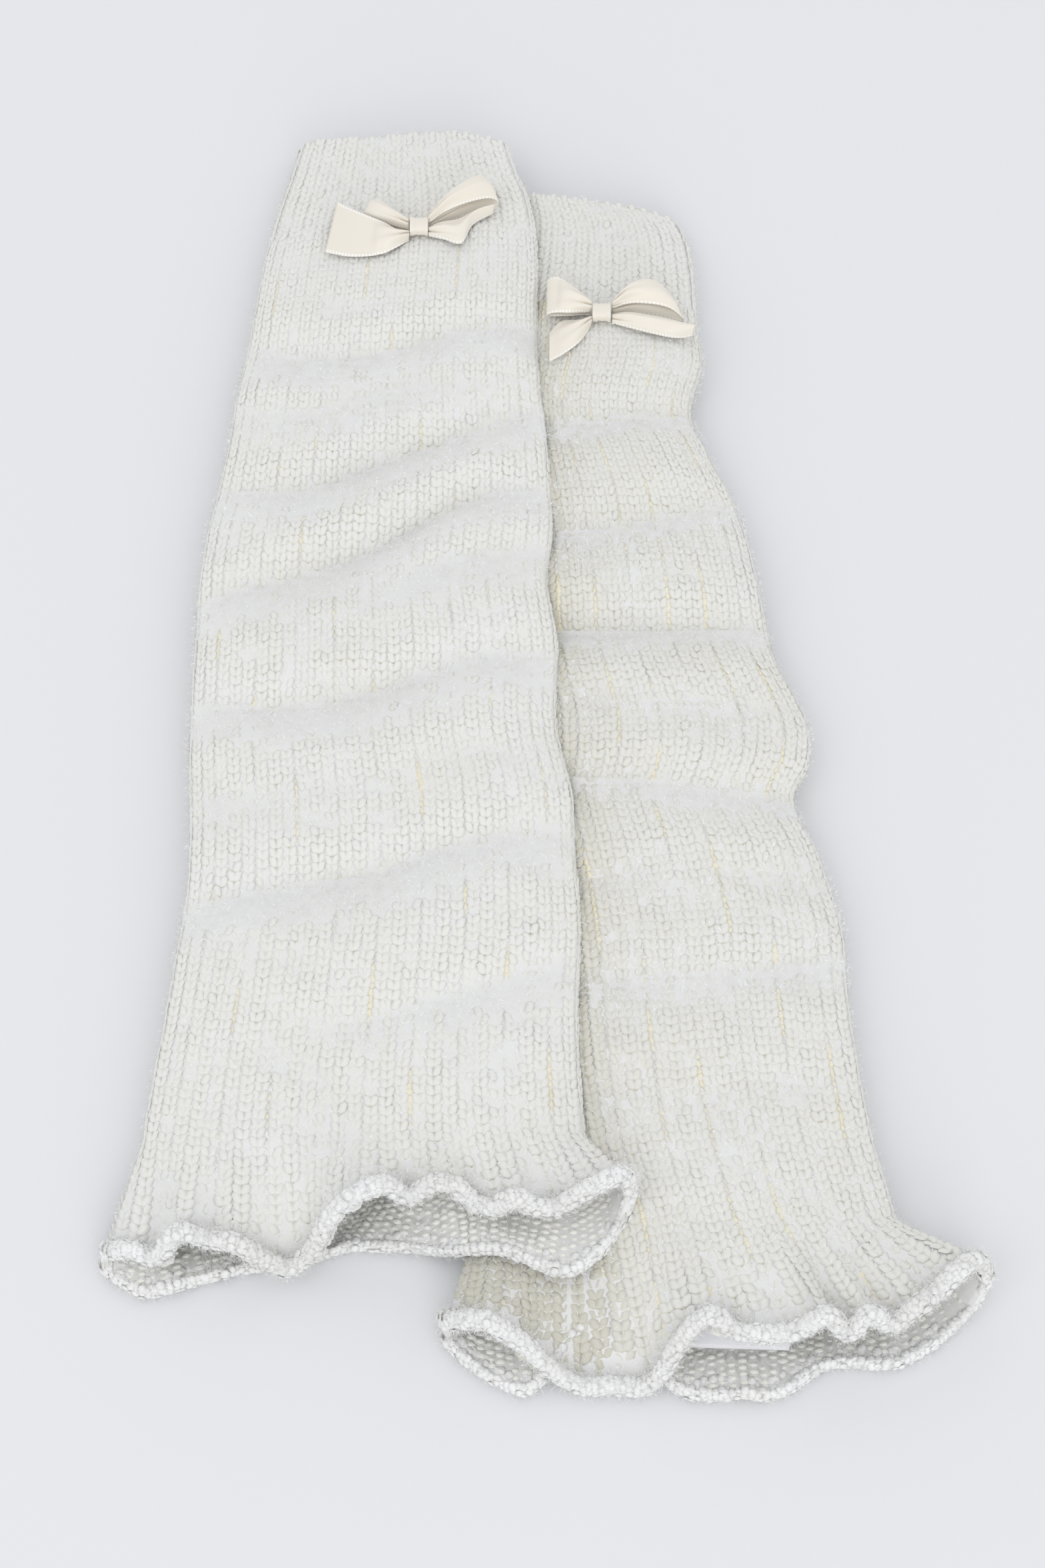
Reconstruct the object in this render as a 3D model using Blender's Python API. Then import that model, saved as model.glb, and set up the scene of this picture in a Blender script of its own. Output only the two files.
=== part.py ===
"""A pair of knitted leg warmers laid flat, one partly on the other.

+X is to the right, +Y towards the narrow cuffs, +Z up, and z = 0 is the surface they lie on.
Tables and sizes are in millimetres and are turned into metres where the meshes are made.
"""
import math
from collections import namedtuple

import bmesh
import bpy
from mathutils import Vector

MM = 0.001
PAIR_CENTRE_X = 6.0
PAIR_CENTRE_Y = 30.4

WALL = 2.6
SEAM_GAP = 0.3
ROLLED_EDGE = 4.4
RIBS_ACROSS = 10
RIB_DEPTH = 1.3
CUFF_RIBS_ACROSS = 20
PLAIN_ACROSS = 8
CUFF_RIB_DEPTH = 0.8
SIDE_SQUARENESS = 2.6
SIDE_ASPECT = 4.4
SEAM_HEIGHT_SHARE = 0.42
CORNER_STEPS = 3
FLAT_STEPS = 8
RAMP_STEPS = 4

PRESSED_HEIGHT = 9.2
CONTACT_GAP = 0.4
SUPPORT_HEIGHT = PRESSED_HEIGHT + CONTACT_GAP
RAMP_START = 15.0
RAMP_END = 3.0
LIFT_SHARE = 0.6
LIFT_START = 48.0
LIFT_END = -24.0
PRESSED_FADE = 17.0
PRESSED_MARGIN = 2.0
OVER_FRONT_LIMIT = -160.0

FOLD_REACH_UP = 13.0
FOLD_REACH_DOWN = 20.0
NEAR_FOLDS = 26.0
FAR_FOLDS = 36.0
NEAR_SHARES = (0.3, 0.68)
USUAL_SHARES = (0.16, 0.48, 0.82)
FAR_SHARES = (0.12, 0.36, 0.66, 0.88)
CUFF_STEPS = (0.0, 0.3, 0.65, 1.0)
HEM_STEPS = (0.0, 0.25, 0.5, 0.75, 0.93, 1.0)

RIBBON = 0.8
KNOT_BEVEL = 1.2
LABEL_THICKNESS = 0.7

Section = namedtuple("Section", "y x_left x_right height")
Fold = namedtuple("Fold", "y_at_stations dip_at_stations")
Edge = namedtuple("Edge", "x y z")
Ribbon = namedtuple("Ribbon", "far_x far_y far_lift near_x near_y near_lift")

STATIONS = (-1.0, -0.5, 0.0, 0.5, 1.0)

OVER_SECTIONS = [
    Section(262, -83.0, -6.0, 13.0),
    Section(245, -86.5, -2.0, 14.0),
    Section(230, -90.0, 3.0, 15.5),
    Section(206, -94.0, 6.0, 18.5),
    Section(176, -97.0, 6.0, 20.5),
    Section(148, -101.0, 7.0, 21.0),
    Section(120, -103.5, 9.5, 21.5),
    Section(92, -108.0, 11.0, 22.0),
    Section(66, -110.0, 9.5, 22.0),
    Section(40, -110.0, 12.5, 22.0),
    Section(12, -110.0, 12.0, 21.5),
    Section(-14, -108.5, 17.0, 21.5),
    Section(-38, -107.5, 18.0, 21.5),
    Section(-62, -109.5, 19.0, 21.0),
    Section(-86, -112.0, 18.0, 20.0),
    Section(-110, -115.0, 18.5, 18.5),
    Section(-134, -117.5, 21.0, 17.5),
    Section(-150, -121.0, 26.0, 17.0),
]

UNDER_SECTIONS = [
    Section(236, -19.0, 50.0, 12.5),
    Section(222, -21.0, 59.0, 14.0),
    Section(206, -24.0, 62.0, 16.0),
    Section(176, -29.0, 63.0, 19.0),
    Section(160, -31.0, 64.0, 20.0),
    Section(141, -32.0, 59.5, 20.5),
    Section(120, -32.5, 66.0, 21.0),
    Section(98, -33.0, 75.0, 21.0),
    Section(71, -33.0, 80.0, 21.5),
    Section(40, -33.0, 85.0, 21.5),
    Section(17, -32.5, 94.5, 21.0),
    Section(2, -32.0, 94.0, 21.0),
    Section(-10, -31.5, 88.5, 20.5),
    Section(-32, -30.0, 96.0, 20.5),
    Section(-57, -28.0, 102.0, 20.0),
    Section(-80, -26.0, 102.5, 19.5),
    Section(-107, -24.0, 105.0, 18.5),
    Section(-128, -21.0, 108.0, 17.5),
    Section(-145, -17.0, 112.0, 17.0),
    Section(-160, -12.0, 115.0, 16.5),
]

OVER_FOLDS = [
    Fold((166.0, 159.5, 161.5, 168.5, 170.5), (5.0, 6.5, 6.5, 6.0, 5.0)),
    Fold((138.0, 136.5, 142.5, 145.0, 146.0), (2.0, 3.0, 3.0, 2.5, 2.0)),
    Fold((106.0, 105.5, 115.0, 125.0, 135.0), (5.5, 7.0, 8.0, 8.0, 7.0)),
    Fold((62.0, 69.5, 81.0, 98.0, 103.0), (6.0, 7.5, 9.0, 9.0, 7.0)),
    Fold((48.0, 56.0, 64.0, 74.0, 79.0), (0.0, 0.5, 2.5, 4.5, 4.0)),
    Fold((22.0, 20.0, 24.5, 34.0, 38.0), (4.5, 6.5, 7.0, 6.0, 5.0)),
    Fold((-50.0, -44.5, -40.5, -31.0, -27.0), (5.0, 6.5, 6.5, 5.5, 4.0)),
    Fold((-98.0, -96.0, -90.0, -81.5, -70.0), (0.5, 0.5, 2.0, 4.0, 3.5)),
]

UNDER_FOLDS = [
    Fold((129.0, 130.5, 132.0, 135.5, 138.0), (4.0, 5.0, 5.5, 6.0, 6.0)),
    Fold((84.0, 85.5, 88.0, 94.0, 101.0), (4.0, 4.5, 5.5, 5.5, 4.5)),
    Fold((48.5, 49.0, 50.0, 51.0, 51.5), (6.0, 8.0, 9.0, 8.5, 7.0)),
    Fold((-6.0, -6.0, -6.5, -9.5, -13.0), (3.0, 3.0, 3.5, 4.5, 5.5)),
    Fold((-80.0, -79.0, -77.0, -73.0, -68.0), (2.5, 2.5, 3.5, 3.5, 3.5)),
]

OVER_CUFF_TOP = (262.5, 262.5, 262.8, 262.2, 256.5)
UNDER_CUFF_TOP = (238.0, 237.0, 234.5, 231.5, 226.5)
OVER_CUFF_SEAM = 214.0
UNDER_CUFF_SEAM = 184.0
OVER_HEM_SEAM = -128.0
UNDER_HEM_SEAM = -152.0

OVER_HEM_TOP = [
    Edge(-124.5, -160.5, 6.5), Edge(-117, -161, 10), Edge(-109.5, -163, 9), Edge(-102, -158, 18),
    Edge(-94, -159, 14), Edge(-86, -161, 17), Edge(-78, -163.5, 11), Edge(-70, -166, 7.5),
    Edge(-63, -162, 12), Edge(-57, -154, 20), Edge(-50, -148, 22), Edge(-41, -144.5, 22.5),
    Edge(-34, -147, 17), Edge(-27, -144, 21), Edge(-20, -145.5, 23), Edge(-14, -149, 18.5),
    Edge(-8, -151, 20), Edge(-2, -149.5, 24), Edge(4, -151.5, 22), Edge(10, -151, 20.5),
    Edge(16, -149, 25), Edge(23, -146, 28), Edge(29.5, -143, 26), Edge(32, -146, 20.5),
]
OVER_HEM_BOTTOM = [
    Edge(-126.5, -162, 4.5), Edge(-121, -167, 2.2), Edge(-113, -171, 2.2), Edge(-105, -169.5, 4.2),
    Edge(-97, -167, 2.2), Edge(-89, -165, 4.0), Edge(-81, -163, 2.2), Edge(-75, -163, 2.6),
    Edge(-69, -162, 2.2), Edge(-63, -161, 3.6), Edge(-57, -159, 2.2), Edge(-51, -157, 3.2),
    Edge(-44, -157, 2.2), Edge(-36, -157, 3.6), Edge(-28, -158, 4.0), Edge(-20, -160, 9.0),
    Edge(-13, -160.5, 12.6), Edge(-5, -161, 12.6), Edge(4, -165, 13.6), Edge(12, -167.5, 12.8),
    Edge(19, -165, 13.2), Edge(26, -158, 14.5), Edge(31, -150, 16.5),
]
UNDER_HEM_TOP = [
    Edge(-22.5, -181.5, 7), Edge(-17, -183, 13), Edge(-11, -184, 16), Edge(-5, -187, 14.5),
    Edge(1, -190.5, 12), Edge(6, -194.5, 8), Edge(12, -198, 4.6), Edge(19, -200.5, 2.6),
    Edge(25, -200, 3.4), Edge(31, -200.5, 2.6), Edge(37, -200, 3.6), Edge(41, -197, 8),
    Edge(44, -193, 13), Edge(49, -187, 18), Edge(55, -183.5, 19), Edge(62, -187, 16),
    Edge(70, -188.5, 17.5), Edge(78, -188, 17), Edge(84, -186, 19), Edge(89, -184, 21),
    Edge(95, -188, 16), Edge(101, -184, 21.5), Edge(108, -185.5, 17), Edge(115, -181, 20),
    Edge(121, -176.5, 18), Edge(128, -170.5, 21), Edge(134, -167, 19), Edge(137, -170, 13),
]
UNDER_HEM_BOTTOM = [
    Edge(-24, -183.5, 4), Edge(-17, -191, 2.2), Edge(-9, -197, 2.2), Edge(1, -200.5, 2.2),
    Edge(7, -197, 2.6), Edge(13, -191, 2.2), Edge(24, -188, 2.2), Edge(35, -190, 2.2),
    Edge(43, -198, 2.2), Edge(50, -201.5, 3.2), Edge(57, -202, 2.2), Edge(65, -201.5, 3.8),
    Edge(72, -202, 2.2), Edge(80, -199, 2.2), Edge(88, -193.5, 3.6), Edge(97, -192, 2.2),
    Edge(106, -193, 3.8), Edge(114, -191, 2.2), Edge(122, -186, 2.2), Edge(130, -179, 3.4),
    Edge(136.5, -172.5, 7),
]

OVER_BOW = {
    "knot": (-37.0, 211.8),
    "loop_l": [
        Ribbon(-40.6, 214.2, 1.1, -40.6, 211.4, 1.1), Ribbon(-46.0, 219.0, 0.9, -46.5, 213.0, 0.9),
        Ribbon(-51.0, 225.0, 0.9, -54.5, 215.5, 0.9), Ribbon(-53.0, 227.8, 2.4, -57.8, 218.0, 2.2),
        Ribbon(-50.8, 225.4, 4.3, -53.8, 216.2, 3.5), Ribbon(-46.0, 219.8, 4.6, -46.4, 213.6, 3.4),
        Ribbon(-40.6, 214.6, 3.9, -40.6, 211.6, 3.3),
    ],
    "loop_r": [
        Ribbon(-33.4, 214.2, 1.1, -33.4, 212.6, 1.1), Ribbon(-26.5, 221.5, 0.9, -25.5, 216.4, 0.9),
        Ribbon(-18.0, 229.0, 0.9, -14.5, 221.0, 0.9), Ribbon(-13.2, 231.8, 3.0, -8.6, 222.6, 2.4),
        Ribbon(-16.4, 232.6, 7.6, -12.4, 222.4, 6.0), Ribbon(-25.5, 224.2, 8.2, -24.6, 217.6, 6.4),
        Ribbon(-33.4, 214.8, 4.4, -33.4, 212.8, 4.0),
    ],
    "tail_l": [
        Ribbon(-40.6, 210.4, 1.6, -40.6, 207.6, 1.2), Ribbon(-45.0, 211.4, 3.2, -45.0, 204.0, 1.6),
        Ribbon(-50.5, 214.2, 5.4, -51.0, 201.2, 1.5), Ribbon(-58.6, 219.0, 6.2, -61.0, 201.0, 1.6),
        Ribbon(-67.0, 226.0, 5.0, -70.7, 203.5, 2.2),
    ],
    "tail_r": [
        Ribbon(-33.4, 211.6, 1.4, -33.4, 208.6, 1.2), Ribbon(-29.0, 213.8, 2.0, -28.1, 206.2, 1.6),
        Ribbon(-23.0, 215.4, 2.4, -21.8, 204.0, 1.6), Ribbon(-16.0, 218.4, 2.6, -18.0, 212.6, 1.8),
        Ribbon(-9.0, 220.8, 2.4, -10.5, 218.6, 2.0),
    ],
}
UNDER_BOW = {
    "knot": (27.8, 175.4),
    "loop_l": [
        Ribbon(24.2, 178.0, 1.1, 24.2, 175.4, 1.1), Ribbon(17.0, 184.0, 1.0, 17.0, 175.0, 1.0),
        Ribbon(11.5, 188.0, 1.4, 11.0, 175.0, 1.2), Ribbon(8.8, 189.6, 3.6, 8.6, 174.2, 3.0),
        Ribbon(12.0, 189.4, 6.4, 11.2, 173.8, 5.0), Ribbon(17.0, 185.2, 6.6, 17.0, 174.2, 4.6),
        Ribbon(24.2, 178.6, 4.4, 24.2, 175.6, 3.8),
    ],
    "loop_r": [
        Ribbon(31.6, 178.0, 1.1, 31.6, 176.2, 1.1), Ribbon(38.5, 184.0, 0.9, 39.5, 177.4, 0.9),
        Ribbon(45.5, 186.6, 0.9, 51.5, 176.4, 0.9), Ribbon(50.6, 186.4, 3.6, 57.0, 174.8, 2.6),
        Ribbon(46.0, 188.6, 7.0, 51.4, 177.6, 5.4), Ribbon(38.5, 186.0, 7.4, 39.5, 178.4, 5.2),
        Ribbon(31.6, 178.8, 4.4, 31.6, 176.6, 4.0),
    ],
    "tail_l": [
        Ribbon(24.2, 173.8, 1.4, 24.2, 171.0, 1.2), Ribbon(19.0, 172.6, 1.6, 20.0, 163.4, 1.6),
        Ribbon(13.5, 172.0, 1.8, 14.6, 158.0, 1.6), Ribbon(9.4, 166.0, 2.6, 9.4, 154.0, 2.2),
    ],
    "tail_r": [
        Ribbon(31.6, 174.8, 1.4, 31.6, 172.0, 1.2), Ribbon(37.0, 175.8, 2.0, 37.0, 170.0, 1.6),
        Ribbon(45.0, 175.0, 2.4, 45.0, 168.0, 1.6), Ribbon(54.5, 173.6, 2.6, 53.0, 166.8, 2.0),
        Ribbon(61.5, 171.4, 2.6, 60.0, 168.6, 2.2),
    ],
}
KNOT_SIZE = (6.4, 6.8, 5.2)

LABEL_TOP_LEFT = (47.5, -182.5, 13.9)
LABEL_TOP_RIGHT = (79.5, -184.0, 14.1)
LABEL_LOW_LEFT = (47.0, -190.0, 9.6)
LABEL_LOW_RIGHT = (77.0, -190.5, 9.4)

KNIT = ("off-white acrylic knit", (0.86, 0.85, 0.80), 0.95)
SATIN = ("cream satin ribbon", (0.86, 0.77, 0.64), 0.35)
WOVEN = ("white woven label", (0.84, 0.84, 0.85), 0.6)


def spline(knots, values, at):
    """A smooth curve through the values; knots rise or fall steadily."""
    if knots[0] > knots[-1]:
        knots = [-k for k in knots]
        at = -at
    last = len(knots) - 1
    at = min(max(at, knots[0]), knots[-1])
    i = 0
    while i < last - 1 and at > knots[i + 1]:
        i += 1

    def slope(j):
        lo, hi = max(j - 1, 0), min(j + 1, last)
        return (values[hi] - values[lo]) / (knots[hi] - knots[lo])

    step = knots[i + 1] - knots[i]
    t = (at - knots[i]) / step
    rise = t * t * (3 - 2 * t)
    start = values[i] * (1 - rise) + values[i + 1] * rise
    return start + step * (slope(i) * t * (1 - t) ** 2 - slope(i + 1) * t * t * (1 - t))


def smooth_step(t):
    t = min(max(t, 0.0), 1.0)
    return t * t * (3 - 2 * t)


def section_value(sections, column, y):
    return spline([s.y for s in sections], [getattr(s, column) for s in sections], y)


def over_support(x, y):
    """The height that the over warmer's underside is carried at: the floor, then the under one."""
    under_left = section_value(UNDER_SECTIONS, "x_left", y)
    start, end = under_left - RAMP_START, under_left - RAMP_END
    return SUPPORT_HEIGHT * smooth_step((x - start) / (end - start))


def over_lift(x, y):
    """How far the over warmer's top is raised by what lies beneath, more gently than its underside."""
    under_left = section_value(UNDER_SECTIONS, "x_left", y)
    start, end = under_left - LIFT_START, under_left - LIFT_END
    return LIFT_SHARE * SUPPORT_HEIGHT * smooth_step((x - start) / (end - start))


def no_support(x, y):
    return 0.0


def pressed_share(x, y):
    """1 where the over warmer presses the under one flat, 0 where it is free."""
    over_right = section_value(OVER_SECTIONS, "x_right", y)
    beside = smooth_step((x - over_right + PRESSED_MARGIN) / PRESSED_FADE)
    before = smooth_step((OVER_FRONT_LIMIT - y) / PRESSED_FADE)
    return (1 - beside) * (1 - before)


def never_pressed(x, y):
    return 0.0


OVER = {
    "name": "over", "sections": OVER_SECTIONS, "folds": OVER_FOLDS,
    "support": over_support, "lift": over_lift, "pressed": never_pressed,
    "cuff_top": OVER_CUFF_TOP, "cuff_seam": OVER_CUFF_SEAM, "hem_seam": OVER_HEM_SEAM,
    "hem_top": OVER_HEM_TOP, "hem_bottom": OVER_HEM_BOTTOM, "bow": OVER_BOW,
}
UNDER = {
    "name": "under", "sections": UNDER_SECTIONS, "folds": UNDER_FOLDS,
    "support": no_support, "lift": no_support, "pressed": pressed_share,
    "cuff_top": UNDER_CUFF_TOP, "cuff_seam": UNDER_CUFF_SEAM, "hem_seam": UNDER_HEM_SEAM,
    "hem_top": UNDER_HEM_TOP, "hem_bottom": UNDER_HEM_BOTTOM, "bow": UNDER_BOW,
}


def side_edges(warmer, y):
    left = section_value(warmer["sections"], "x_left", y)
    right = section_value(warmer["sections"], "x_right", y)
    return left, right


def fold_dip(warmer, s, y):
    """How far the slouch folds sink the top at a place across (s from -1 to 1) and along (y)."""
    dip = 0.0
    for fold in warmer["folds"]:
        away = y - spline(STATIONS, fold.y_at_stations, s)
        reach = FOLD_REACH_UP if away > 0 else FOLD_REACH_DOWN
        if abs(away) < reach:
            depth = max(spline(STATIONS, fold.dip_at_stations, s), 0.0)
            dip += depth * (1 - abs(away) / reach) ** 2
    return dip


def crest_height(warmer, s, y):
    """Height of the top surface before it rounds over at the sides."""
    left, right = side_edges(warmer, y)
    x = left + (right - left) * (s + 1) / 2
    height = section_value(warmer["sections"], "height", y) - fold_dip(warmer, s, y)
    pressed = warmer["pressed"](x, y)
    return warmer["lift"](x, y) + height * (1 - pressed) + PRESSED_HEIGHT * pressed


def seam_height(warmer, s, y):
    """Height of the side seam, where the upper and lower halves meet."""
    left, right = side_edges(warmer, y)
    x = left + (right - left) * (s + 1) / 2
    support = warmer["support"](x, y)
    height = section_value(warmer["sections"], "height", y) - (1 - LIFT_SHARE) * support
    pressed = warmer["pressed"](x, y)
    return support + SEAM_HEIGHT_SHARE * (height * (1 - pressed) + PRESSED_HEIGHT * pressed)


def profile_places(shares):
    """Places across a flattened round top, at equal shares of its length: (s, rise)."""
    steps = 400
    places = []
    for i in range(steps + 1):
        angle = math.pi * (1 - i / steps)
        power = 2 / SIDE_SQUARENESS
        s = math.copysign(abs(math.cos(angle)) ** power, math.cos(angle))
        places.append((s, abs(math.sin(angle)) ** power))
    run = [0.0]
    for (s0, r0), (s1, r1) in zip(places, places[1:]):
        run.append(run[-1] + math.hypot((s1 - s0) * SIDE_ASPECT, r1 - r0))
    found = []
    i = 0
    for share in shares:
        while i < steps - 1 and run[i + 1] < share * run[-1]:
            i += 1
        t = (share * run[-1] - run[i]) / (run[i + 1] - run[i])
        found.append(tuple(a + (b - a) * t for a, b in zip(places[i], places[i + 1])))
    return found


def rib_shares(ribs, phases):
    """Shares of the top's length at each rib's groove and shoulders, with the groove marked."""
    shares = [((rib + phase) / ribs, phase == 0) for rib in range(ribs) for phase in phases]
    return shares + [(1.0, True)]


def top_point(warmer, s, rise, y, inset, lift=0.0):
    left, right = side_edges(warmer, y)
    half = (right - left) / 2
    seam = seam_height(warmer, s, y) + lift
    x = (left + right) / 2 + s * (half - inset)
    return Vector((x, y, seam + (crest_height(warmer, s, y) - seam - inset) * rise))


def corner_places(warmer, side, edge, y, inset):
    """The rounded corner from a side seam down to the underside: (x, height)."""
    support = warmer["support"](edge, y)
    radius = seam_height(warmer, float(side), y) - support
    centre = edge - side * radius
    reach = radius - inset
    angles = [math.pi / 2 * step / CORNER_STEPS for step in range(CORNER_STEPS + 1)]
    return [(centre + side * reach * math.cos(a), support + radius - reach * math.sin(a)) for a in angles]


def under_places(warmer, y, inset):
    """Points of the underside from the right seam to the left one: (x, height)."""
    left, right = side_edges(warmer, y)
    right_corner = corner_places(warmer, 1, right, y, inset)
    left_corner = corner_places(warmer, -1, left, y, inset)
    flat_left, flat_right = left_corner[-1][0], right_corner[-1][0]
    if warmer["support"] is no_support:
        middle = [flat_right + (flat_left - flat_right) * k / FLAT_STEPS for k in range(1, FLAT_STEPS)]
    else:
        top = section_value(UNDER_SECTIONS, "x_left", y) - RAMP_END
        slope = (RAMP_START - RAMP_END) / RAMP_STEPS
        ramp = [top - slope * k for k in range(RAMP_STEPS + 1)]
        beyond = [ramp[-1] + (flat_left - ramp[-1]) * k / 3 for k in (1, 2)]
        middle = [(flat_right + top) / 2] + ramp + beyond
    flat = [(x, warmer["support"](x, y) + inset) for x in middle]
    return right_corner + flat + left_corner[::-1]


def add_grid(bm, rows, flip=False):
    """Faces between neighbouring rows of mesh points."""
    for low, high in zip(rows, rows[1:]):
        for a, b, c, d in zip(low, low[1:], high[1:], high):
            bm.faces.new((a, d, c, b) if flip else (a, b, c, d))


def close_edge(bm, outer, inner, flip=False):
    """A strip of triangles and quads between two edges with different numbers of points."""
    i = j = 0
    while i < len(outer) - 1 or j < len(inner) - 1:
        next_outer = (i + 1) / (len(outer) - 1) if i < len(outer) - 1 else 2.0
        next_inner = (j + 1) / (len(inner) - 1) if j < len(inner) - 1 else 2.0
        if abs(next_outer - next_inner) < 1e-9:
            face = (outer[i], inner[j], inner[j + 1], outer[i + 1])
            i, j = i + 1, j + 1
        elif next_outer < next_inner:
            face = (outer[i], inner[j], outer[i + 1])
            i += 1
        else:
            face = (outer[i], inner[j], inner[j + 1])
            j += 1
        bm.faces.new(face[::-1] if flip else face)


def mesh_points(bm, rows):
    shift = Vector((PAIR_CENTRE_X, PAIR_CENTRE_Y, 0.0))
    return [[bm.verts.new((point - shift) * MM) for point in row] for row in rows]


def make_material(name, colour, roughness):
    material = bpy.data.materials.get(name) or bpy.data.materials.new(name)
    material.use_nodes = True
    shader = material.node_tree.nodes["Principled BSDF"]
    shader.inputs["Base Color"].default_value = (*colour, 1.0)
    shader.inputs["Roughness"].default_value = roughness
    shader.inputs["Metallic"].default_value = 0.0
    return material


def finish_object(name, bm, finish):
    bmesh.ops.recalc_face_normals(bm, faces=bm.faces[:])
    mesh = bpy.data.meshes.new(name)
    bm.to_mesh(mesh)
    bm.free()
    mesh.shade_smooth()
    mesh.materials.append(make_material(*finish))
    part = bpy.data.objects.new(name, mesh)
    bpy.context.collection.objects.link(part)
    return part


def make_panel(name, outer_rows, inner_rows):
    """An open panel of cloth: an outer and an inner face, closed along its four edges."""
    bm = bmesh.new()
    outer = mesh_points(bm, outer_rows)
    inner = mesh_points(bm, inner_rows)
    add_grid(bm, outer)
    add_grid(bm, inner, flip=True)
    close_edge(bm, outer[0], inner[0])
    close_edge(bm, outer[-1], inner[-1], flip=True)
    close_edge(bm, [row[0] for row in outer], [row[0] for row in inner], flip=True)
    close_edge(bm, [row[-1] for row in outer], [row[-1] for row in inner])
    return finish_object(name, bm, KNIT)


def make_tube(name, outer_rings, inner_rings):
    """A tube of cloth, open at both ends: an outer and an inner face joined round each end."""
    bm = bmesh.new()
    outer = [ring + ring[:1] for ring in mesh_points(bm, outer_rings)]
    inner = [ring + ring[:1] for ring in mesh_points(bm, inner_rings)]
    add_grid(bm, outer)
    add_grid(bm, inner, flip=True)
    close_edge(bm, outer[0], inner[0])
    close_edge(bm, outer[-1], inner[-1], flip=True)
    return finish_object(name, bm, KNIT)


def body_rows(warmer):
    """The lines across the body that its folds need, each as the y of the five stations."""
    first = (warmer["cuff_seam"] - SEAM_GAP / 2,) * 5
    last = (warmer["hem_seam"] + SEAM_GAP / 2,) * 5
    lines = [first] + [fold.y_at_stations for fold in warmer["folds"]] + [last]
    rows = []
    for above, below in zip(lines, lines[1:]):
        apart = (sum(above) - sum(below)) / len(STATIONS)
        shares = NEAR_SHARES if apart < NEAR_FOLDS else USUAL_SHARES
        if apart > FAR_FOLDS:
            shares = FAR_SHARES
        rows.append(above)
        for share in shares:
            rows.append(tuple(a + (b - a) * share for a, b in zip(above, below)))
    return rows + [last]


def upper_rows(warmer, lines, places, insets):
    """Rows across the top, one along each line, at a depth below the outside."""
    rows = []
    for line in lines:
        rows.append([
            top_point(warmer, s, rise, spline(STATIONS, line, s), inset, SEAM_GAP / 2)
            for (s, rise), inset in zip(places, insets)
        ])
    return rows


def make_upper(name, warmer, lines, grooved, depth):
    """The upper half of a tube, with its ribs raised on the outside."""
    places = profile_places([share for share, groove in grooved])
    insets = [depth if groove and 0 < share < 1 else 0.0 for share, groove in grooved]
    plain = profile_places([k / PLAIN_ACROSS for k in range(PLAIN_ACROSS + 1)])
    outer = upper_rows(warmer, lines, places, insets)
    inner = upper_rows(warmer, lines, plain, [WALL] * len(plain))
    return make_panel(name, outer, inner)


def under_line(warmer, line, inset, drop=0.0):
    """The underside from the right seam to the left one, along a line across the tube."""
    count = len(under_places(warmer, line[0], inset))
    row = []
    for k in range(count):
        y = line[-1] + (line[0] - line[-1]) * k / (count - 1)
        x, height = under_places(warmer, y, inset)[k]
        row.append(Vector((x, y, height)))
    row[0].z -= drop
    row[-1].z -= drop
    return row


def make_lower(name, warmer, lines):
    """The lower half of a tube, plain because it rests flat."""
    outer = [under_line(warmer, line, 0.0, SEAM_GAP / 2) for line in lines]
    inner = [under_line(warmer, line, WALL, SEAM_GAP / 2) for line in lines]
    return make_panel(name, outer, inner)


def make_body(warmer):
    """The slouched 3x1 rib body, in two halves that meet at the side seams."""
    top = warmer["cuff_seam"] - SEAM_GAP / 2
    bottom = warmer["hem_seam"] + SEAM_GAP / 2
    levels = [top] + [s.y for s in warmer["sections"] if bottom + 5 < s.y < top - 5] + [bottom]
    ribs = rib_shares(RIBS_ACROSS, (0, 0.2, 0.8))
    make_upper(warmer["name"] + "_front", warmer, body_rows(warmer), ribs, RIB_DEPTH)
    make_lower(warmer["name"] + "_back", warmer, [(y,) * 5 for y in levels])


def make_cuff(warmer):
    """The 1x1 rib cuff, in two halves like the body."""
    seam_line = (warmer["cuff_seam"] + SEAM_GAP / 2,) * 5
    lines = []
    for share in CUFF_STEPS:
        lines.append(tuple(a + (b - a) * share for a, b in zip(warmer["cuff_top"], seam_line)))
    ribs = rib_shares(CUFF_RIBS_ACROSS, (0, 0.5))
    make_upper(warmer["name"] + "_cuff_front", warmer, lines, ribs, CUFF_RIB_DEPTH)
    make_lower(warmer["name"] + "_cuff_back", warmer, lines)


def ring_at(warmer, line, places, insets, under_inset):
    """One ring round the tube: over the top from left to right, then back underneath."""
    ring = []
    for (s, rise), inset in zip(places, insets):
        ring.append(top_point(warmer, s, rise, spline(STATIONS, line, s), inset))
    return ring + under_line(warmer, line, under_inset)[1:-1]


def edge_points(table, count):
    """Points at equal steps along a smooth line through a table of edge points."""
    knots = [0.0]
    for a, b in zip(table, table[1:]):
        knots.append(knots[-1] + math.dist(a, b))
    points = []
    for k in range(count):
        at = knots[-1] * k / (count - 1)
        points.append(Vector([spline(knots, [row[axis] for row in table], at) for axis in range(3)]))
    return points


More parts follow.
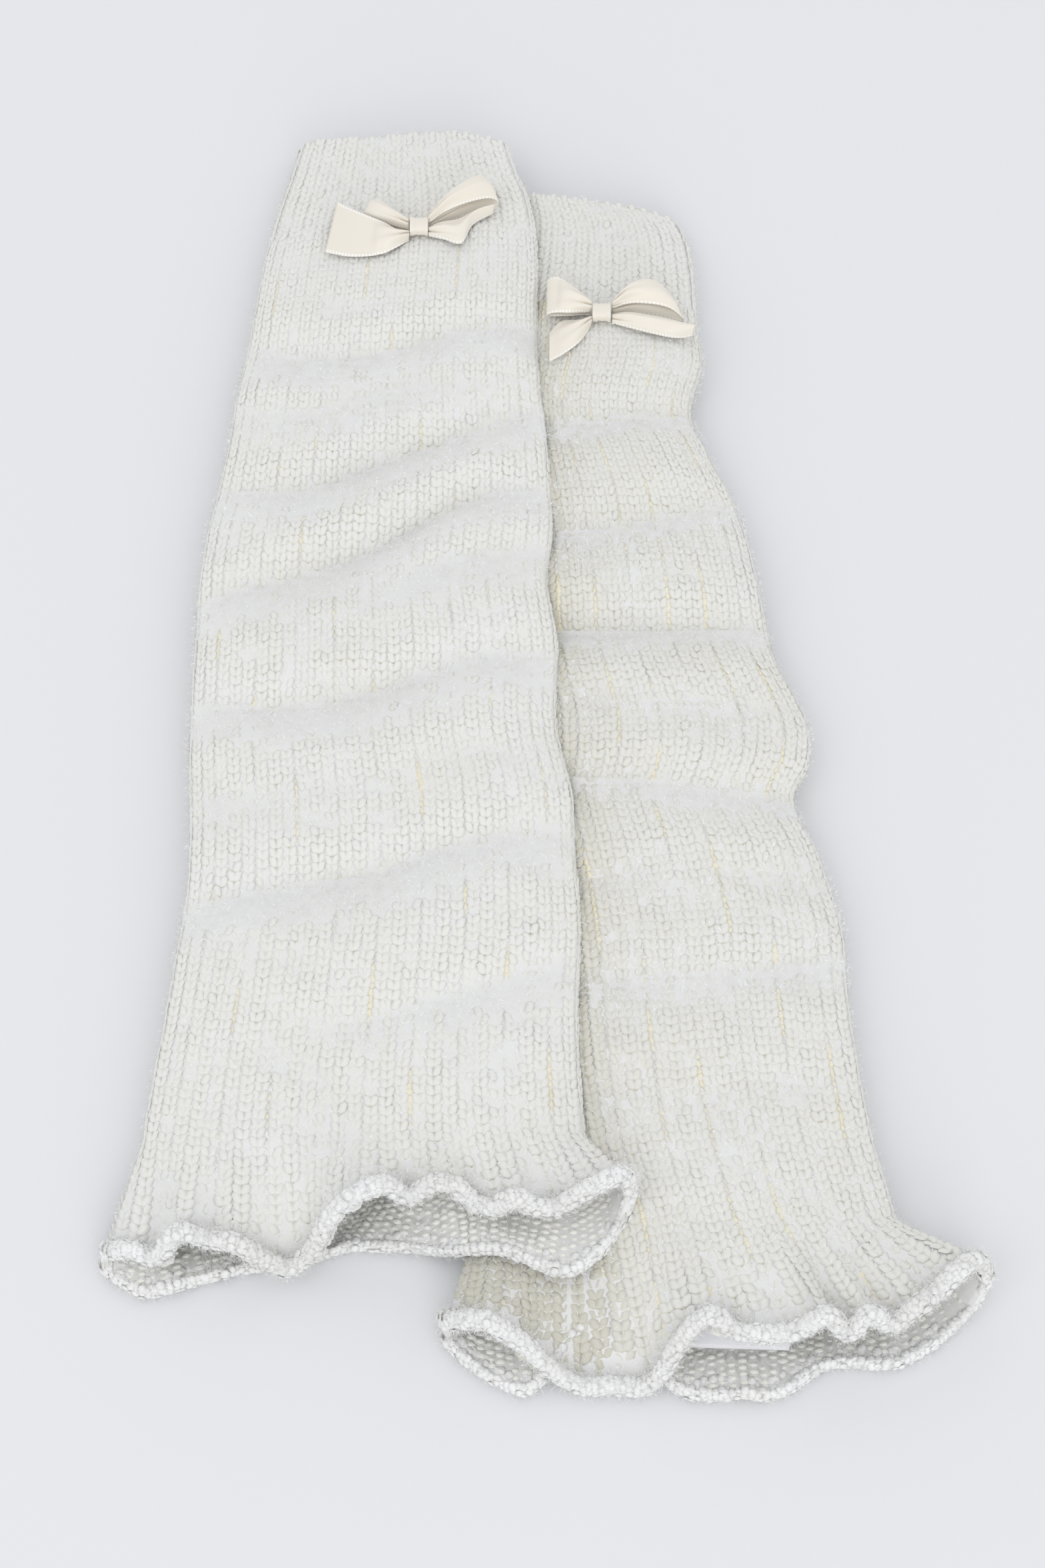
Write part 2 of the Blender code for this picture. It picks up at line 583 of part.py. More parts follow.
def make_hem(warmer):
    """The flared lettuce edge: a tube whose rim follows the waves in the edge tables."""
    grooved = rib_shares(RIBS_ACROSS, (0, 0.25, 0.5, 0.75))
    places = profile_places([share for share, groove in grooved])
    line = (warmer["hem_seam"] - SEAM_GAP / 2,) * 5
    half = WALL / 2
    start = ring_at(warmer, line, places, [half] * len(places), half)
    lower_count = len(start) - len(places)
    rim = edge_points(warmer["hem_top"], len(places))
    rim += edge_points(warmer["hem_bottom"][::-1], lower_count + 2)[1:-1]
    middle = []
    for share in HEM_STEPS:
        ring = []
        for a, b in zip(start, rim):
            point = a.lerp(b, share)
            point.z = a.z + (b.z - a.z) * share ** 1.5
            ring.append(point)
        middle.append(ring)
    count = len(start)
    outer, inner = [], []
    for i, ring in enumerate(middle):
        thick = WALL if HEM_STEPS[i] < 0.9 else ROLLED_EDGE
        outer_ring, inner_ring = [], []
        for k, point in enumerate(ring):
            around = ring[(k + 1) % count] - ring[k - 1]
            along = middle[min(i + 1, len(middle) - 1)][k] - middle[max(i - 1, 0)][k]
            if i == 0:
                along = Vector((0.0, -1.0, 0.0))
            normal = along.cross(around).normalized() * (thick / 2)
            if i == 0:
                normal.y = 0.0
            in_groove = 0 < k < len(places) - 1 and grooved[k][1]
            sunk = RIB_DEPTH * (1 - HEM_STEPS[i]) / (thick / 2) if in_groove else 0.0
            outer_point = point + normal * (1 - sunk)
            inner_point = point - normal
            outer_point.z = max(outer_point.z, 0.0)
            outer_ring.append(outer_point)
            inner_ring.append(inner_point)
        outer.append(outer_ring)
        inner.append(inner_ring)
    return make_tube(warmer["name"] + "_hem", outer, inner)


def panel_height(warmer, x, y):
    """Height of the outside of the top under a place in plan."""
    left, right = side_edges(warmer, y)
    s = min(max((2 * x - left - right) / (right - left), -0.86), 0.86)
    rise = (1 - abs(s) ** SIDE_SQUARENESS) ** (1 / SIDE_SQUARENESS)
    return top_point(warmer, s, rise, y, 0.0, SEAM_GAP / 2).z


def make_ribbon(name, warmer, stations):
    """A strip of satin ribbon: three points across, smoothed along its stations."""
    count = 2 * len(stations) - 1
    knots = list(range(len(stations)))
    rows = []
    for k in range(count):
        values = [spline(knots, [row[c] for row in stations], k / 2) for c in range(6)]
        far_x, far_y, far_lift, near_x, near_y, near_lift = values
        far = Vector((far_x, far_y, panel_height(warmer, far_x, far_y) + far_lift))
        near = Vector((near_x, near_y, panel_height(warmer, near_x, near_y) + near_lift))
        rows.append([far, (far + near) / 2, near])
    upper, lower = [], []
    for i, row in enumerate(rows):
        upper_row, lower_row = [], []
        for j, point in enumerate(row):
            along = rows[min(i + 1, count - 1)][j] - rows[max(i - 1, 0)][j]
            normal = along.cross(row[-1] - row[0]).normalized() * (RIBBON / 2)
            upper_row.append(point + normal)
            lower_row.append(point - normal)
        upper.append(upper_row)
        lower.append(lower_row)
    bm = bmesh.new()
    outer = mesh_points(bm, upper)
    inner = mesh_points(bm, lower)
    add_grid(bm, outer)
    add_grid(bm, inner, flip=True)
    close_edge(bm, outer[0], inner[0])
    close_edge(bm, outer[-1], inner[-1], flip=True)
    close_edge(bm, [row[0] for row in outer], [row[0] for row in inner], flip=True)
    close_edge(bm, [row[-1] for row in outer], [row[-1] for row in inner])
    return finish_object(name, bm, SATIN)


def make_knot(warmer):
    """The ribbon wrapped round the middle of the bow."""
    x, y = warmer["bow"]["knot"]
    bm = bmesh.new()
    bmesh.ops.create_cube(bm, size=1.0)
    bmesh.ops.scale(bm, vec=[size * MM for size in KNOT_SIZE], verts=bm.verts[:])
    bmesh.ops.bevel(bm, geom=bm.edges[:], offset=KNOT_BEVEL * MM, segments=2, profile=0.5,
                    affect="EDGES", material=-1)
    reach = [(dx, dy) for dx in (-0.5, 0, 0.5) for dy in (-0.5, 0, 0.5)]
    heights = [panel_height(warmer, x + dx * KNOT_SIZE[0], y + dy * KNOT_SIZE[1]) for dx, dy in reach]
    z = max(heights) + SEAM_GAP + KNOT_SIZE[2] / 2
    place = Vector((x - PAIR_CENTRE_X, y - PAIR_CENTRE_Y, z)) * MM
    bmesh.ops.translate(bm, vec=place, verts=bm.verts[:])
    return finish_object(warmer["name"] + "_bow_knot", bm, SATIN)


def make_label():
    """A bare woven label inside the under warmer's hem."""
    corners = [LABEL_TOP_LEFT, LABEL_TOP_RIGHT, LABEL_LOW_RIGHT, LABEL_LOW_LEFT]
    bm = bmesh.new()
    shift = Vector((PAIR_CENTRE_X, PAIR_CENTRE_Y, 0.0))
    upper = [bm.verts.new((Vector(corner) - shift) * MM) for corner in corners]
    face = bm.faces.new(upper)
    made = bmesh.ops.extrude_face_region(bm, geom=[face])
    moved = [item for item in made["geom"] if isinstance(item, bmesh.types.BMVert)]
    bmesh.ops.translate(bm, vec=(0.0, 0.0, -LABEL_THICKNESS * MM), verts=moved)
    return finish_object("under_label", bm, WOVEN)


def make_warmer(warmer):
    make_cuff(warmer)
    make_body(warmer)
    make_hem(warmer)
    for piece in ("loop_l", "loop_r", "tail_l", "tail_r"):
        make_ribbon(f"{warmer['name']}_bow_{piece}", warmer, warmer["bow"][piece])
    make_knot(warmer)


def main():
    for old in list(bpy.data.objects):
        bpy.data.objects.remove(old)
    make_warmer(UNDER)
    make_warmer(OVER)
    make_label()


main()
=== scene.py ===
import math

import bmesh
import bpy
import numpy as np
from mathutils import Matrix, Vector


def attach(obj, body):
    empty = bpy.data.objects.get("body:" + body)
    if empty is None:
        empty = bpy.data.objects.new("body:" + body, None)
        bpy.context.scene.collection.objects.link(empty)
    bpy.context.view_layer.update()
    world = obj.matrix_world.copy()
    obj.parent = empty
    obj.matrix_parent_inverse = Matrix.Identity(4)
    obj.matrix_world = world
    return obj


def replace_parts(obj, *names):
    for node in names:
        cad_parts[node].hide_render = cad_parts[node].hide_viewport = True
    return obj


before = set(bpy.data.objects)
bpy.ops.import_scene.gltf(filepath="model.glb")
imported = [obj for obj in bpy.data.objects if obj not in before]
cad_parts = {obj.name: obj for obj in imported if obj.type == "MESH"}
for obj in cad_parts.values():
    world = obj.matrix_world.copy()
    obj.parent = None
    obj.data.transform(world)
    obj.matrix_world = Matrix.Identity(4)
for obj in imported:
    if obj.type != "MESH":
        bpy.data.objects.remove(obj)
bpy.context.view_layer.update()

# Places are in millimetres in the tables and turned into metres as each mesh is made.
mm = 0.001
pairCentre = np.array([6.0, 30.4, 0.0])
stations = (-1.0, -0.5, 0.0, 0.5, 1.0)  # across a warmer, from its left side to its right
dice = np.random.default_rng(41)

photoView = {
    "place": (-0.006, -0.42924, 0.78277),
    "tilt": 27.0,  # degrees away from straight down
    "lens": 61.22,
    "sensor": 36.0,
}
studio = {
    "floorSize": 6.0,
    "floorFinish": {
        "Base Color": (0.785, 0.793, 0.810, 1.0), "Roughness": 0.95, "Specular IOR Level": 0.1,
    },
    "skyColour": (0.975, 0.985, 1.0),
    "skyStrength": 0.95,
    "keyPlace": (-1.6, -1.2, 2.1),
    "keySize": 1.7,
    "keyPower": 4.5,
    "fillPlace": (0.6, -3.2, 1.1),
    "fillSize": 1.7,
    "fillPower": 18.0,
}


def meshFrom(bm, name):
    mesh = bpy.data.meshes.new(name)
    bm.to_mesh(mesh)
    bm.free()
    return mesh


def newMaterial(name, finish):
    material = bpy.data.materials.new(name)
    material.use_nodes = True
    shader = material.node_tree.nodes["Principled BSDF"]
    for socket, value in finish.items():
        shader.inputs[socket].default_value = value
    return material, shader, material.node_tree


def addNode(tree, kind, **values):
    node = tree.nodes.new(kind)
    for key, value in values.items():
        if hasattr(node, key):
            setattr(node, key, value)
        else:
            node.inputs[key].default_value = value
    return node


def mathNode(tree, operation, *values):  # each value is a socket or a number
    node = addNode(tree, "ShaderNodeMath", operation=operation)
    for place, value in enumerate(values):
        if isinstance(value, float):
            node.inputs[place].default_value = value
        else:
            tree.links.new(value, node.inputs[place])
    return node.outputs[0]


def mixColours(tree, share, first, second):  # each colour is a socket or three numbers
    node = addNode(tree, "ShaderNodeMix", data_type="RGBA")
    tree.links.new(share, node.inputs["Factor"])
    for place, colour in ((6, first), (7, second)):
        if isinstance(colour, tuple):
            node.inputs[place].default_value = (*colour, 1.0)
        else:
            tree.links.new(colour, node.inputs[place])
    return node.outputs[2]


def mapRange(tree, value, before, after):
    node = addNode(tree, "ShaderNodeMapRange")
    for key, end in zip(("From Min", "From Max", "To Min", "To Max"), (*before, *after)):
        node.inputs[key].default_value = end
    tree.links.new(value, node.inputs["Value"])
    return node.outputs["Result"]


def bumpFrom(tree, texture, place, distance, strength):  # a texture on a place, as relief
    tree.links.new(place, texture.inputs["Vector"])
    bump = addNode(tree, "ShaderNodeBump", Distance=distance, Strength=strength)
    tree.links.new(texture.outputs["Fac"], bump.inputs["Height"])
    return bump.outputs["Normal"]


def setCamera():
    data = bpy.data.cameras.new("photoCamera")
    data.sensor_fit = "VERTICAL"
    data.sensor_height = photoView["sensor"]
    data.lens = photoView["lens"]
    camera = bpy.data.objects.new("photoCamera", data)
    camera.location = photoView["place"]
    camera.rotation_euler = (math.radians(photoView["tilt"]), 0.0, 0.0)
    bpy.context.collection.objects.link(camera)
    bpy.context.scene.camera = camera


def areaLight(name, place, size, power):
    data = bpy.data.lights.new(name, "AREA")
    data.size = size
    data.energy = power
    light = bpy.data.objects.new(name, data)
    light.location = place
    light.rotation_euler = (-Vector(place)).to_track_quat("-Z", "Y").to_euler()
    bpy.context.collection.objects.link(light)


def setStudio():
    areaLight("keySoftbox", studio["keyPlace"], studio["keySize"], studio["keyPower"])
    areaLight("fillSoftbox", studio["fillPlace"], studio["fillSize"], studio["fillPower"])
    world = bpy.data.worlds.new("studioRoom")
    world.use_nodes = True
    sky = world.node_tree.nodes["Background"]
    sky.inputs["Color"].default_value = (*studio["skyColour"], 1.0)
    sky.inputs["Strength"].default_value = studio["skyStrength"]
    bpy.context.scene.world = world
    bpy.context.scene.view_settings.view_transform = "Standard"
    bm = bmesh.new()
    bmesh.ops.create_grid(bm, x_segments=1, y_segments=1, size=studio["floorSize"] / 2)
    mesh = meshFrom(bm, "studioFloor")
    mesh.materials.append(newMaterial("paleFloor", studio["floorFinish"])[0])
    floor = bpy.data.objects.new("studioFloor", mesh)
    bpy.context.collection.objects.link(floor)


setCamera()
setStudio()
print("camera and studio are set")

# The two warmers: rows of (y, left, right, height), and folds of (y at stations, dip at stations).
over = {
    "name": "over",
    "sections": [
        (262, -83.0, -6.0, 13.0), (245, -86.5, -2.0, 14.0), (230, -90.0, 3.0, 15.5),
        (206, -94.0, 6.0, 18.5), (176, -97.0, 6.0, 20.5), (148, -101.0, 7.0, 21.0),
        (120, -103.5, 9.5, 21.5), (92, -108.0, 11.0, 22.0), (66, -110.0, 9.5, 22.0),
        (40, -110.0, 12.5, 22.0), (12, -110.0, 12.0, 21.5), (-14, -108.5, 17.0, 21.5),
        (-38, -107.5, 18.0, 21.5), (-62, -109.5, 19.0, 21.0), (-86, -112.0, 18.0, 20.0),
        (-110, -115.0, 18.5, 18.5), (-134, -117.5, 21.0, 17.5), (-150, -121.0, 26.0, 17.0),
    ],
    "folds": [
        ((166.0, 159.5, 161.5, 168.5, 170.5), (5.0, 6.5, 6.5, 6.0, 5.0)),
        ((138.0, 136.5, 142.5, 145.0, 146.0), (2.0, 3.0, 3.0, 2.5, 2.0)),
        ((106.0, 105.5, 115.0, 125.0, 135.0), (5.5, 7.0, 8.0, 8.0, 7.0)),
        ((62.0, 69.5, 81.0, 98.0, 103.0), (6.0, 7.5, 9.0, 9.0, 7.0)),
        ((48.0, 56.0, 64.0, 74.0, 79.0), (0.0, 0.5, 2.5, 4.5, 4.0)),
        ((22.0, 20.0, 24.5, 34.0, 38.0), (4.5, 6.5, 7.0, 6.0, 5.0)),
        ((-12.0, -12.0, -9.0, -2.0, 4.0), (2.5, 1.5, 0.5, 1.0, 1.5)),
        ((-50.0, -44.5, -40.5, -31.0, -27.0), (5.0, 6.5, 6.5, 5.5, 4.0)),
        ((-98.0, -96.0, -90.0, -81.5, -70.0), (0.5, 0.5, 2.0, 4.0, 3.5)),
    ],
    "cuffTop": (262.5, 262.5, 262.8, 262.2, 256.5),
    "cuffSeam": 214.0,
    "hemSeam": -128.0,
    "hemTop": [
        (-124.5, -160.5, 6.5), (-117, -161, 10), (-109.5, -163, 9), (-102, -158, 18),
        (-94, -159, 14), (-86, -161, 17), (-78, -163.5, 11), (-70, -166, 7.5),
        (-63, -162, 12), (-57, -154, 20), (-50, -148, 22), (-41, -144.5, 22.5),
        (-34, -147, 17), (-27, -144, 21), (-20, -145.5, 23), (-14, -149, 18.5),
        (-8, -151, 20), (-2, -149.5, 24), (4, -151.5, 22), (10, -151, 20.5),
        (16, -149, 25), (23, -146, 28), (29.5, -143, 26), (32, -146, 20.5),
    ],
    "hemLow": [
        (-126.5, -162, 4.5), (-121, -167, 2.2), (-113, -171, 2.2), (-105, -169.5, 4.2),
        (-97, -167, 2.2), (-89, -165, 4.0), (-81, -163, 2.2), (-75, -163, 2.6),
        (-69, -162, 2.2), (-63, -161, 3.6), (-57, -159, 2.2), (-51, -157, 3.2),
        (-44, -157, 2.2), (-36, -157, 3.6), (-28, -158, 4.0), (-20, -160, 9.0),
        (-13, -160.5, 12.6), (-5, -161, 12.6), (4, -165, 13.6), (12, -167.5, 12.8),
        (19, -165, 13.2), (26, -158, 14.5), (31, -150, 16.5),
    ],
    "lowIntervals": 15,
    "sideWales": (True, True),
    "snug": 0.85,  # how far its ribs close up
    "napReach": 13.0,  # how far below a fold the nap hides the stitches
}
under = {
    "name": "under",
    "sections": [
        (236, -19.0, 50.0, 12.5), (222, -21.0, 59.0, 14.0), (206, -24.0, 62.0, 16.0),
        (176, -29.0, 63.0, 19.0), (160, -31.0, 64.0, 20.0), (141, -32.0, 59.5, 20.5),
        (120, -32.5, 66.0, 21.0), (98, -33.0, 75.0, 21.0), (71, -33.0, 80.0, 21.5),
        (40, -33.0, 85.0, 21.5), (17, -32.5, 94.5, 21.0), (2, -32.0, 94.0, 21.0),
        (-10, -31.5, 88.5, 20.5), (-32, -30.0, 96.0, 20.5), (-57, -28.0, 102.0, 20.0),
        (-80, -26.0, 102.5, 19.5), (-107, -24.0, 105.0, 18.5), (-128, -21.0, 108.0, 17.5),
        (-145, -17.0, 112.0, 17.0), (-160, -12.0, 115.0, 16.5),
    ],
    "folds": [
        ((129.0, 130.5, 132.0, 135.5, 138.0), (4.0, 5.0, 5.5, 6.0, 6.0)),
        ((84.0, 85.5, 88.0, 94.0, 101.0), (4.0, 4.5, 5.5, 5.5, 4.5)),
        ((48.5, 49.0, 50.0, 51.0, 51.5), (6.0, 8.0, 9.0, 8.5, 7.0)),
        ((23.0, 23.0, 22.0, 20.0, 18.0), (1.0, 1.0, 1.5, 2.0, 2.0)),
        ((-6.0, -6.0, -6.5, -9.5, -13.0), (3.0, 3.0, 3.5, 4.5, 5.5)),
        ((-44.0, -43.0, -42.0, -41.0, -40.0), (0.5, 1.0, 1.5, 1.5, 2.0)),
        ((-80.0, -79.0, -77.0, -73.0, -68.0), (2.5, 2.5, 3.5, 3.5, 3.5)),
        ((-118.0, -116.0, -114.0, -111.0, -108.0), (0.5, 1.0, 1.5, 1.5, 1.0)),
    ],
    "cuffTop": (238.0, 237.0, 234.5, 231.5, 226.5),
    "cuffSeam": 184.0,
    "hemSeam": -152.0,
    "hemTop": [
        (-22.5, -181.5, 7), (-17, -183, 13), (-11, -184, 16), (-5, -187, 14.5),
        (1, -190.5, 12), (6, -194.5, 8), (12, -198, 4.6), (19, -200.5, 2.6),
        (25, -200, 3.4), (31, -200.5, 2.6), (37, -200, 3.6), (41, -197, 8),
        (44, -193, 13), (49, -187, 18), (55, -183.5, 19), (62, -187, 16),
        (70, -188.5, 17.5), (78, -188, 17), (84, -186, 19), (89, -184, 21),
        (95, -188, 16), (101, -184, 21.5), (108, -185.5, 17), (115, -181, 20),
        (121, -176.5, 18), (128, -170.5, 21), (134, -167, 19), (137, -170, 13),
    ],
    "hemLow": [
        (-24, -183.5, 4), (-17, -191, 2.2), (-9, -197, 2.2), (1, -200.5, 2.2),
        (7, -195, 2.6), (13, -186, 2.2), (24, -180, 2.2), (35, -184, 2.2),
        (43, -198, 2.2), (50, -201.5, 3.2), (57, -202, 2.2), (65, -201.5, 3.8),
        (72, -202, 2.2), (80, -199, 2.2), (88, -193.5, 3.6), (97, -192, 2.2),
        (106, -193, 3.8), (114, -191, 2.2), (122, -186, 2.2), (130, -179, 3.4),
        (136.5, -172.5, 7),
    ],
    "lowIntervals": 14,
    "sideWales": (False, True),
    "snug": 0.2,
    "napReach": 5.5,
}
lie = {  # how one warmer lies on the other
    "pressedHeight": 9.2,
    "supportHeight": 9.6,
    "rampStart": 15.0,
    "rampEnd": 3.0,
    "liftShare": 0.6,
    "liftStart": 48.0,
    "liftEnd": -24.0,
    "pressedFade": 15.0,
    "pressedMargin": 12.0,
    "frontLimit": -160.0,
    "seamShare": 0.42,
    "squareness": 2.6,
    "sideAspect": 4.4,
}
slouch = {  # the folds
    "reachUp": 13.0,
    "reachDown": 20.0,
    "roundness": 2.8,
    "overhang": 0.6,
    "overhangDip": 7.0,
    "lipStart": -0.5,
    "lipRise": 3.2,
    "lipHold": 3.0,
    "lipFade": 9.0,
    "waver": 0.35,
}
cloth = {
    "halfWall": 1.3,
    "lowInset": 0.8,
    "rowStep": 0.8,
    "topColumns": 241,
    "lowRefine": 6,
    "cornerIntervals": 3,
    "hemRows": 44,
    "curlRows": 14,
    "curlRadius": 2.6,
    "curlTurn": 300.0,
    "curlTighten": 0.22,
    "rimDrop": 0.5,  # how far the cloth dips to meet the roll, in radii
    "rimDropStart": 0.72,  # shares of the hem's run
    "rimDropRun": 0.28,
    "hemSweep": 1.5,  # how late the hem rises to its edge
    "edgeClearance": 0.6,
    "overhangEnd": 14,  # above the hem's seam
    "waverFrom": 5,
    "waverRun": 8,
    "shellThickness": 1.1,
    "shellRowSkip": 4,
    "hemRowSkip": 2,
    "shellColumnSkip": 3,
    "seamRows": 4,  # rows kept whole above the hem's seam
    "grooveDepth": 0.35,
    "grooveWidth": 0.09,  # share of a rib
    "grooveEnd": 8,  # rows above the hem's edge
    "grooveClosed": 0.7,  # how much shallower a groove is where its ribs meet
}
stitch = {
    "row": 2.9,
    "ribs": 10,
    "openShare": 0.296,  # a knit wale's share of its rib where the groove is open
    "closedShare": 0.328,
    "sunk": 0.40,  # the yarn's middle above the wall's middle
    "crown": 0.12,
    "bend": 0.12,
    "legLength": 1.50,  # in rows
    "legWidth": 0.36,  # half, in wales
    "legDepth": 0.40,
    "legSpread": 0.235,
    "legSlant": 0.20,
    "jitter": 0.09,
    "cuffRibs": 20,
    "cuffWaleShare": 0.92,
    "softDepth": 0.40,  # how much flatter a stitch is where the nap hides it
    "softWidth": 0.16,
    "softSink": 0.22,
    "napShare": 0.36,  # how far the nap turns the shading towards the cloth's own
    "podSides": 5,
    "podSteps": 3,
    "plumpness": 0.08,
    "legPlumpness": 0.07,
    "bendTop": 0.4,
    "waleLimits": (2.2, 7.5),
    "waleOverlap": 1.03,
    "sidePitch": 0.98,
    "cuffSides": (0.6, 1.7, 2.6),  # wales of the cuff below its side, in intervals of the underside
    "cuffCrown": 0.08,
    "cuffJoint": 0.5,
    "jointStart": 0.45,  # where a leg turns darker and creamier with painted shade of the hole at its end, in half lengths from its middle
    "jointRun": 0.55,
    "jointTop": 0.55,  # against 1 at its foot
    "acrossReach": 2.5,  # columns
    "cream": 0.22,  # on the under warmer all over
    "creviceShade": 0.44,  # and more beside the over one: painted shade in the crevice between the two
    "creviceShadeReach": 9.0,
    "coveredMargin": 5,
    "coveredFront": -148,
}
meeting = {  # how neighbouring ribs meet and part along the grooves
    "slowWave": 0.052,
    "fastWave": 0.13,
    "fastShare": 0.7,
    "slowShift": 1.9,
    "fastShift": 4.1,
    "spread": 1.3,
}
nap = {  # where the fluff hides the stitches
    "patchShare": 0.25,
    "patchStart": 0.7,
    "patchSpread": 0.6,
    "fullDip": 4.5,  # a fold this deep hides them wholly
    "foldLead": 0.5,
    "foldRise": 2.0,
    "fadeLead": 3.0,
    "fadeLength": 10.0,
    "hemShare": 0.9,
    "hemReach": 11.0,
    "hemFade": 9.0,
}
purl = {
    "grooveRow": 2.1,
    "grooveSize": (0.42, 1.35, 0.5),  # the first is a share of a wale
    "wale": 3.1,
    "row": 2.3,
    "size": (1.55, 0.85, 0.55),
    "laneWidth": 2.0,  # columns
    "barSpread": 3.6,  # from a lane's width to the groove's
    "barLimits": (2.2, 6.5),
    "barRaised": 0.12,
    "barClosed": 0.5,  # how far a bar sinks where its ribs meet
    "barJitter": 0.06,
    "bumpRaised": 0.45,
    "bumpJitter": 0.12,
}
rim = {
    "wale": 1.7,
    "row": 1.45,
    "size": (1.65, 1.45, 0.38),
    "jitter": 0.22,
    "napShare": 0.2,
    "raised": 0.30,
    "swing": 0.8,  # how far a bulge turns from the roll's own way
}
fuzz = {
    "overCount": 36500,
    "underCount": 23000,
    "rimCount": 15000,
    "innerCount": 1800,
    "length": (0.9, 3.2),
    "rimLength": (0.8, 2.3),
    "width": 0.13,
    "lean": 1.7,
    "curl": 1.2,
    "overGlints": 9000,
    "underGlints": 8000,
    "glintLength": (0.8, 1.9),
    "glintWidth": 0.24,
    "bendAt": 0.55,
    "bendShare": 0.4,
    "twist": 0.25,
    "sideExtra": 1.5,  # more down the sides
    "bareDensity": 0.5,
    "softExtra": 2.2,  # more where the nap is soft
    "rootLift": 0.8,
    "rootSpread": 0.35,
    "glintLift": 1.15,
    "glintSpread": 0.3,
    "coveredMargin": 3,
    "coveredFront": -150,
}


def spline(knots, values, at):
    knots, values, at = np.asarray(knots, float), np.asarray(values, float), np.asarray(at, float)
    if knots[0] > knots[-1]:
        knots, at = -knots, -at
    slopes = np.empty_like(values)
    slopes[1:-1] = (values[2:] - values[:-2]) / (knots[2:] - knots[:-2])
    slopes[0] = (values[1] - values[0]) / (knots[1] - knots[0])
    slopes[-1] = (values[-1] - values[-2]) / (knots[-1] - knots[-2])
    at = np.clip(at, knots[0], knots[-1])
    i = np.clip(np.searchsorted(knots, at, side="right") - 1, 0, len(knots) - 2)
    step = knots[i + 1] - knots[i]
    t = (at - knots[i]) / step
    rise = t * t * (3 - 2 * t)
    start = values[i] * (1 - rise) + values[i + 1] * rise
    return start + step * (slopes[i] * t * (1 - t) ** 2 - slopes[i + 1] * t * t * (1 - t))


def smoothStep(t):
    t = np.clip(t, 0.0, 1.0)
    return t * t * (3 - 2 * t)


def runLength(line):  # the way covered up to each point of a line
    return np.concatenate([[0], np.cumsum(np.linalg.norm(np.diff(line, axis=0), axis=1))])


def sectionValue(warmer, column, y):
    table = np.array(warmer["sections"], float)
    return spline(table[:, 0], table[:, column], y)


def supportAt(warmer, x, y):  # the height that the underside is carried at
    if warmer is under:
        return np.zeros(np.broadcast(x, y).shape)
    start = sectionValue(under, 1, y) - lie["rampStart"]
    run = lie["rampStart"] - lie["rampEnd"]
    return lie["supportHeight"] * smoothStep((x - start) / run)


def liftAt(warmer, x, y):  # how far the top is raised by what lies beneath
    if warmer is under:
        return 0.0
    start = sectionValue(under, 1, y) - lie["liftStart"]
    run = lie["liftStart"] - lie["liftEnd"]
    return lie["liftShare"] * lie["supportHeight"] * smoothStep((x - start) / run)


def pressedAt(warmer, x, y):  # 1 where the over warmer presses the under one flat
    if warmer is over:
        return 0.0
    beside = smoothStep((x - sectionValue(over, 2, y) + lie["pressedMargin"]) / lie["pressedFade"])
    before = smoothStep((lie["frontLimit"] - y) / lie["pressedFade"])
    return (1 - beside) * (1 - before)


def foldDip(warmer, s, y):
    dip = 0.0
    for places, dips in warmer["folds"]:
        away = y - spline(stations, places, s)
        near = np.sqrt(away ** 2 + slouch["roundness"] ** 2) - slouch["roundness"]
        reach = np.where(away > 0, slouch["reachUp"], slouch["reachDown"])
        depth = np.maximum(spline(stations, dips, s), 0.0)
        dip = dip + depth * np.clip(1 - near / reach, 0, 1) ** 2
    return dip


def foldLip(warmer, s, y):  # how far the cloth above a fold hangs forward over it
    lip = 0.0
    for places, dips in warmer["folds"]:
        away = y - spline(stations, places, s)
        share = np.maximum(spline(stations, dips, s), 0.0) / slouch["overhangDip"]
        rise = smoothStep((away - slouch["lipStart"]) / slouch["lipRise"])
        fade = 1 - smoothStep((away - slouch["lipHold"]) / slouch["lipFade"])
        lip = lip + slouch["overhang"] * share * rise * fade
    return lip


def topHeights(warmer, s, y):  # the top before it rounds over, and the side seam
    left, right = sectionValue(warmer, 1, y), sectionValue(warmer, 2, y)
    x = left + (right - left) * (s + 1) / 2
    height = sectionValue(warmer, 3, y)
    pressed = pressedAt(warmer, x, y)
    support = supportAt(warmer, x, y)
    crest = (height - foldDip(warmer, s, y)) * (1 - pressed) + lie["pressedHeight"] * pressed
    free = (height - (1 - lie["liftShare"]) * support) * (1 - pressed)
    seam = support + lie["seamShare"] * (free + lie["pressedHeight"] * pressed)
    return liftAt(warmer, x, y) + crest, seam


def profilePlaces(shares):  # places across a flattened round top at shares of its length
    angle = math.pi * (1 - np.arange(401) / 400)
    power = 2 / lie["squareness"]
    s = np.sign(np.cos(angle)) * np.abs(np.cos(angle)) ** power
    rise = np.abs(np.sin(angle)) ** power
    run = np.concatenate([[0], np.cumsum(np.hypot(np.diff(s) * lie["sideAspect"], np.diff(rise)))])
    return np.interp(shares, run / run[-1], s), np.interp(shares, run / run[-1], rise)


def waver(points):  # slow unevenness of the slack cloth, from waves of unlike lengths
    x, y = points[..., 0], points[..., 1]
    wave = np.sin(x * 0.21 + y * 0.13 + 1.7) + np.sin(x * 0.11 - y * 0.19 + 0.4)
    return slouch["waver"] * (wave + np.sin(y * 0.37 + np.sin(x * 0.09) * 2.0)) / 2


def topPoints(warmer, s, rise, y, inset):
    left, right = sectionValue(warmer, 1, y), sectionValue(warmer, 2, y)
    crest, seam = topHeights(warmer, s, y)
    x = (left + right) / 2 + s * ((right - left) / 2 - inset)
    z = seam + (crest - seam - inset) * rise
    return np.stack(np.broadcast_arrays(x, y, z), -1).astype(float)


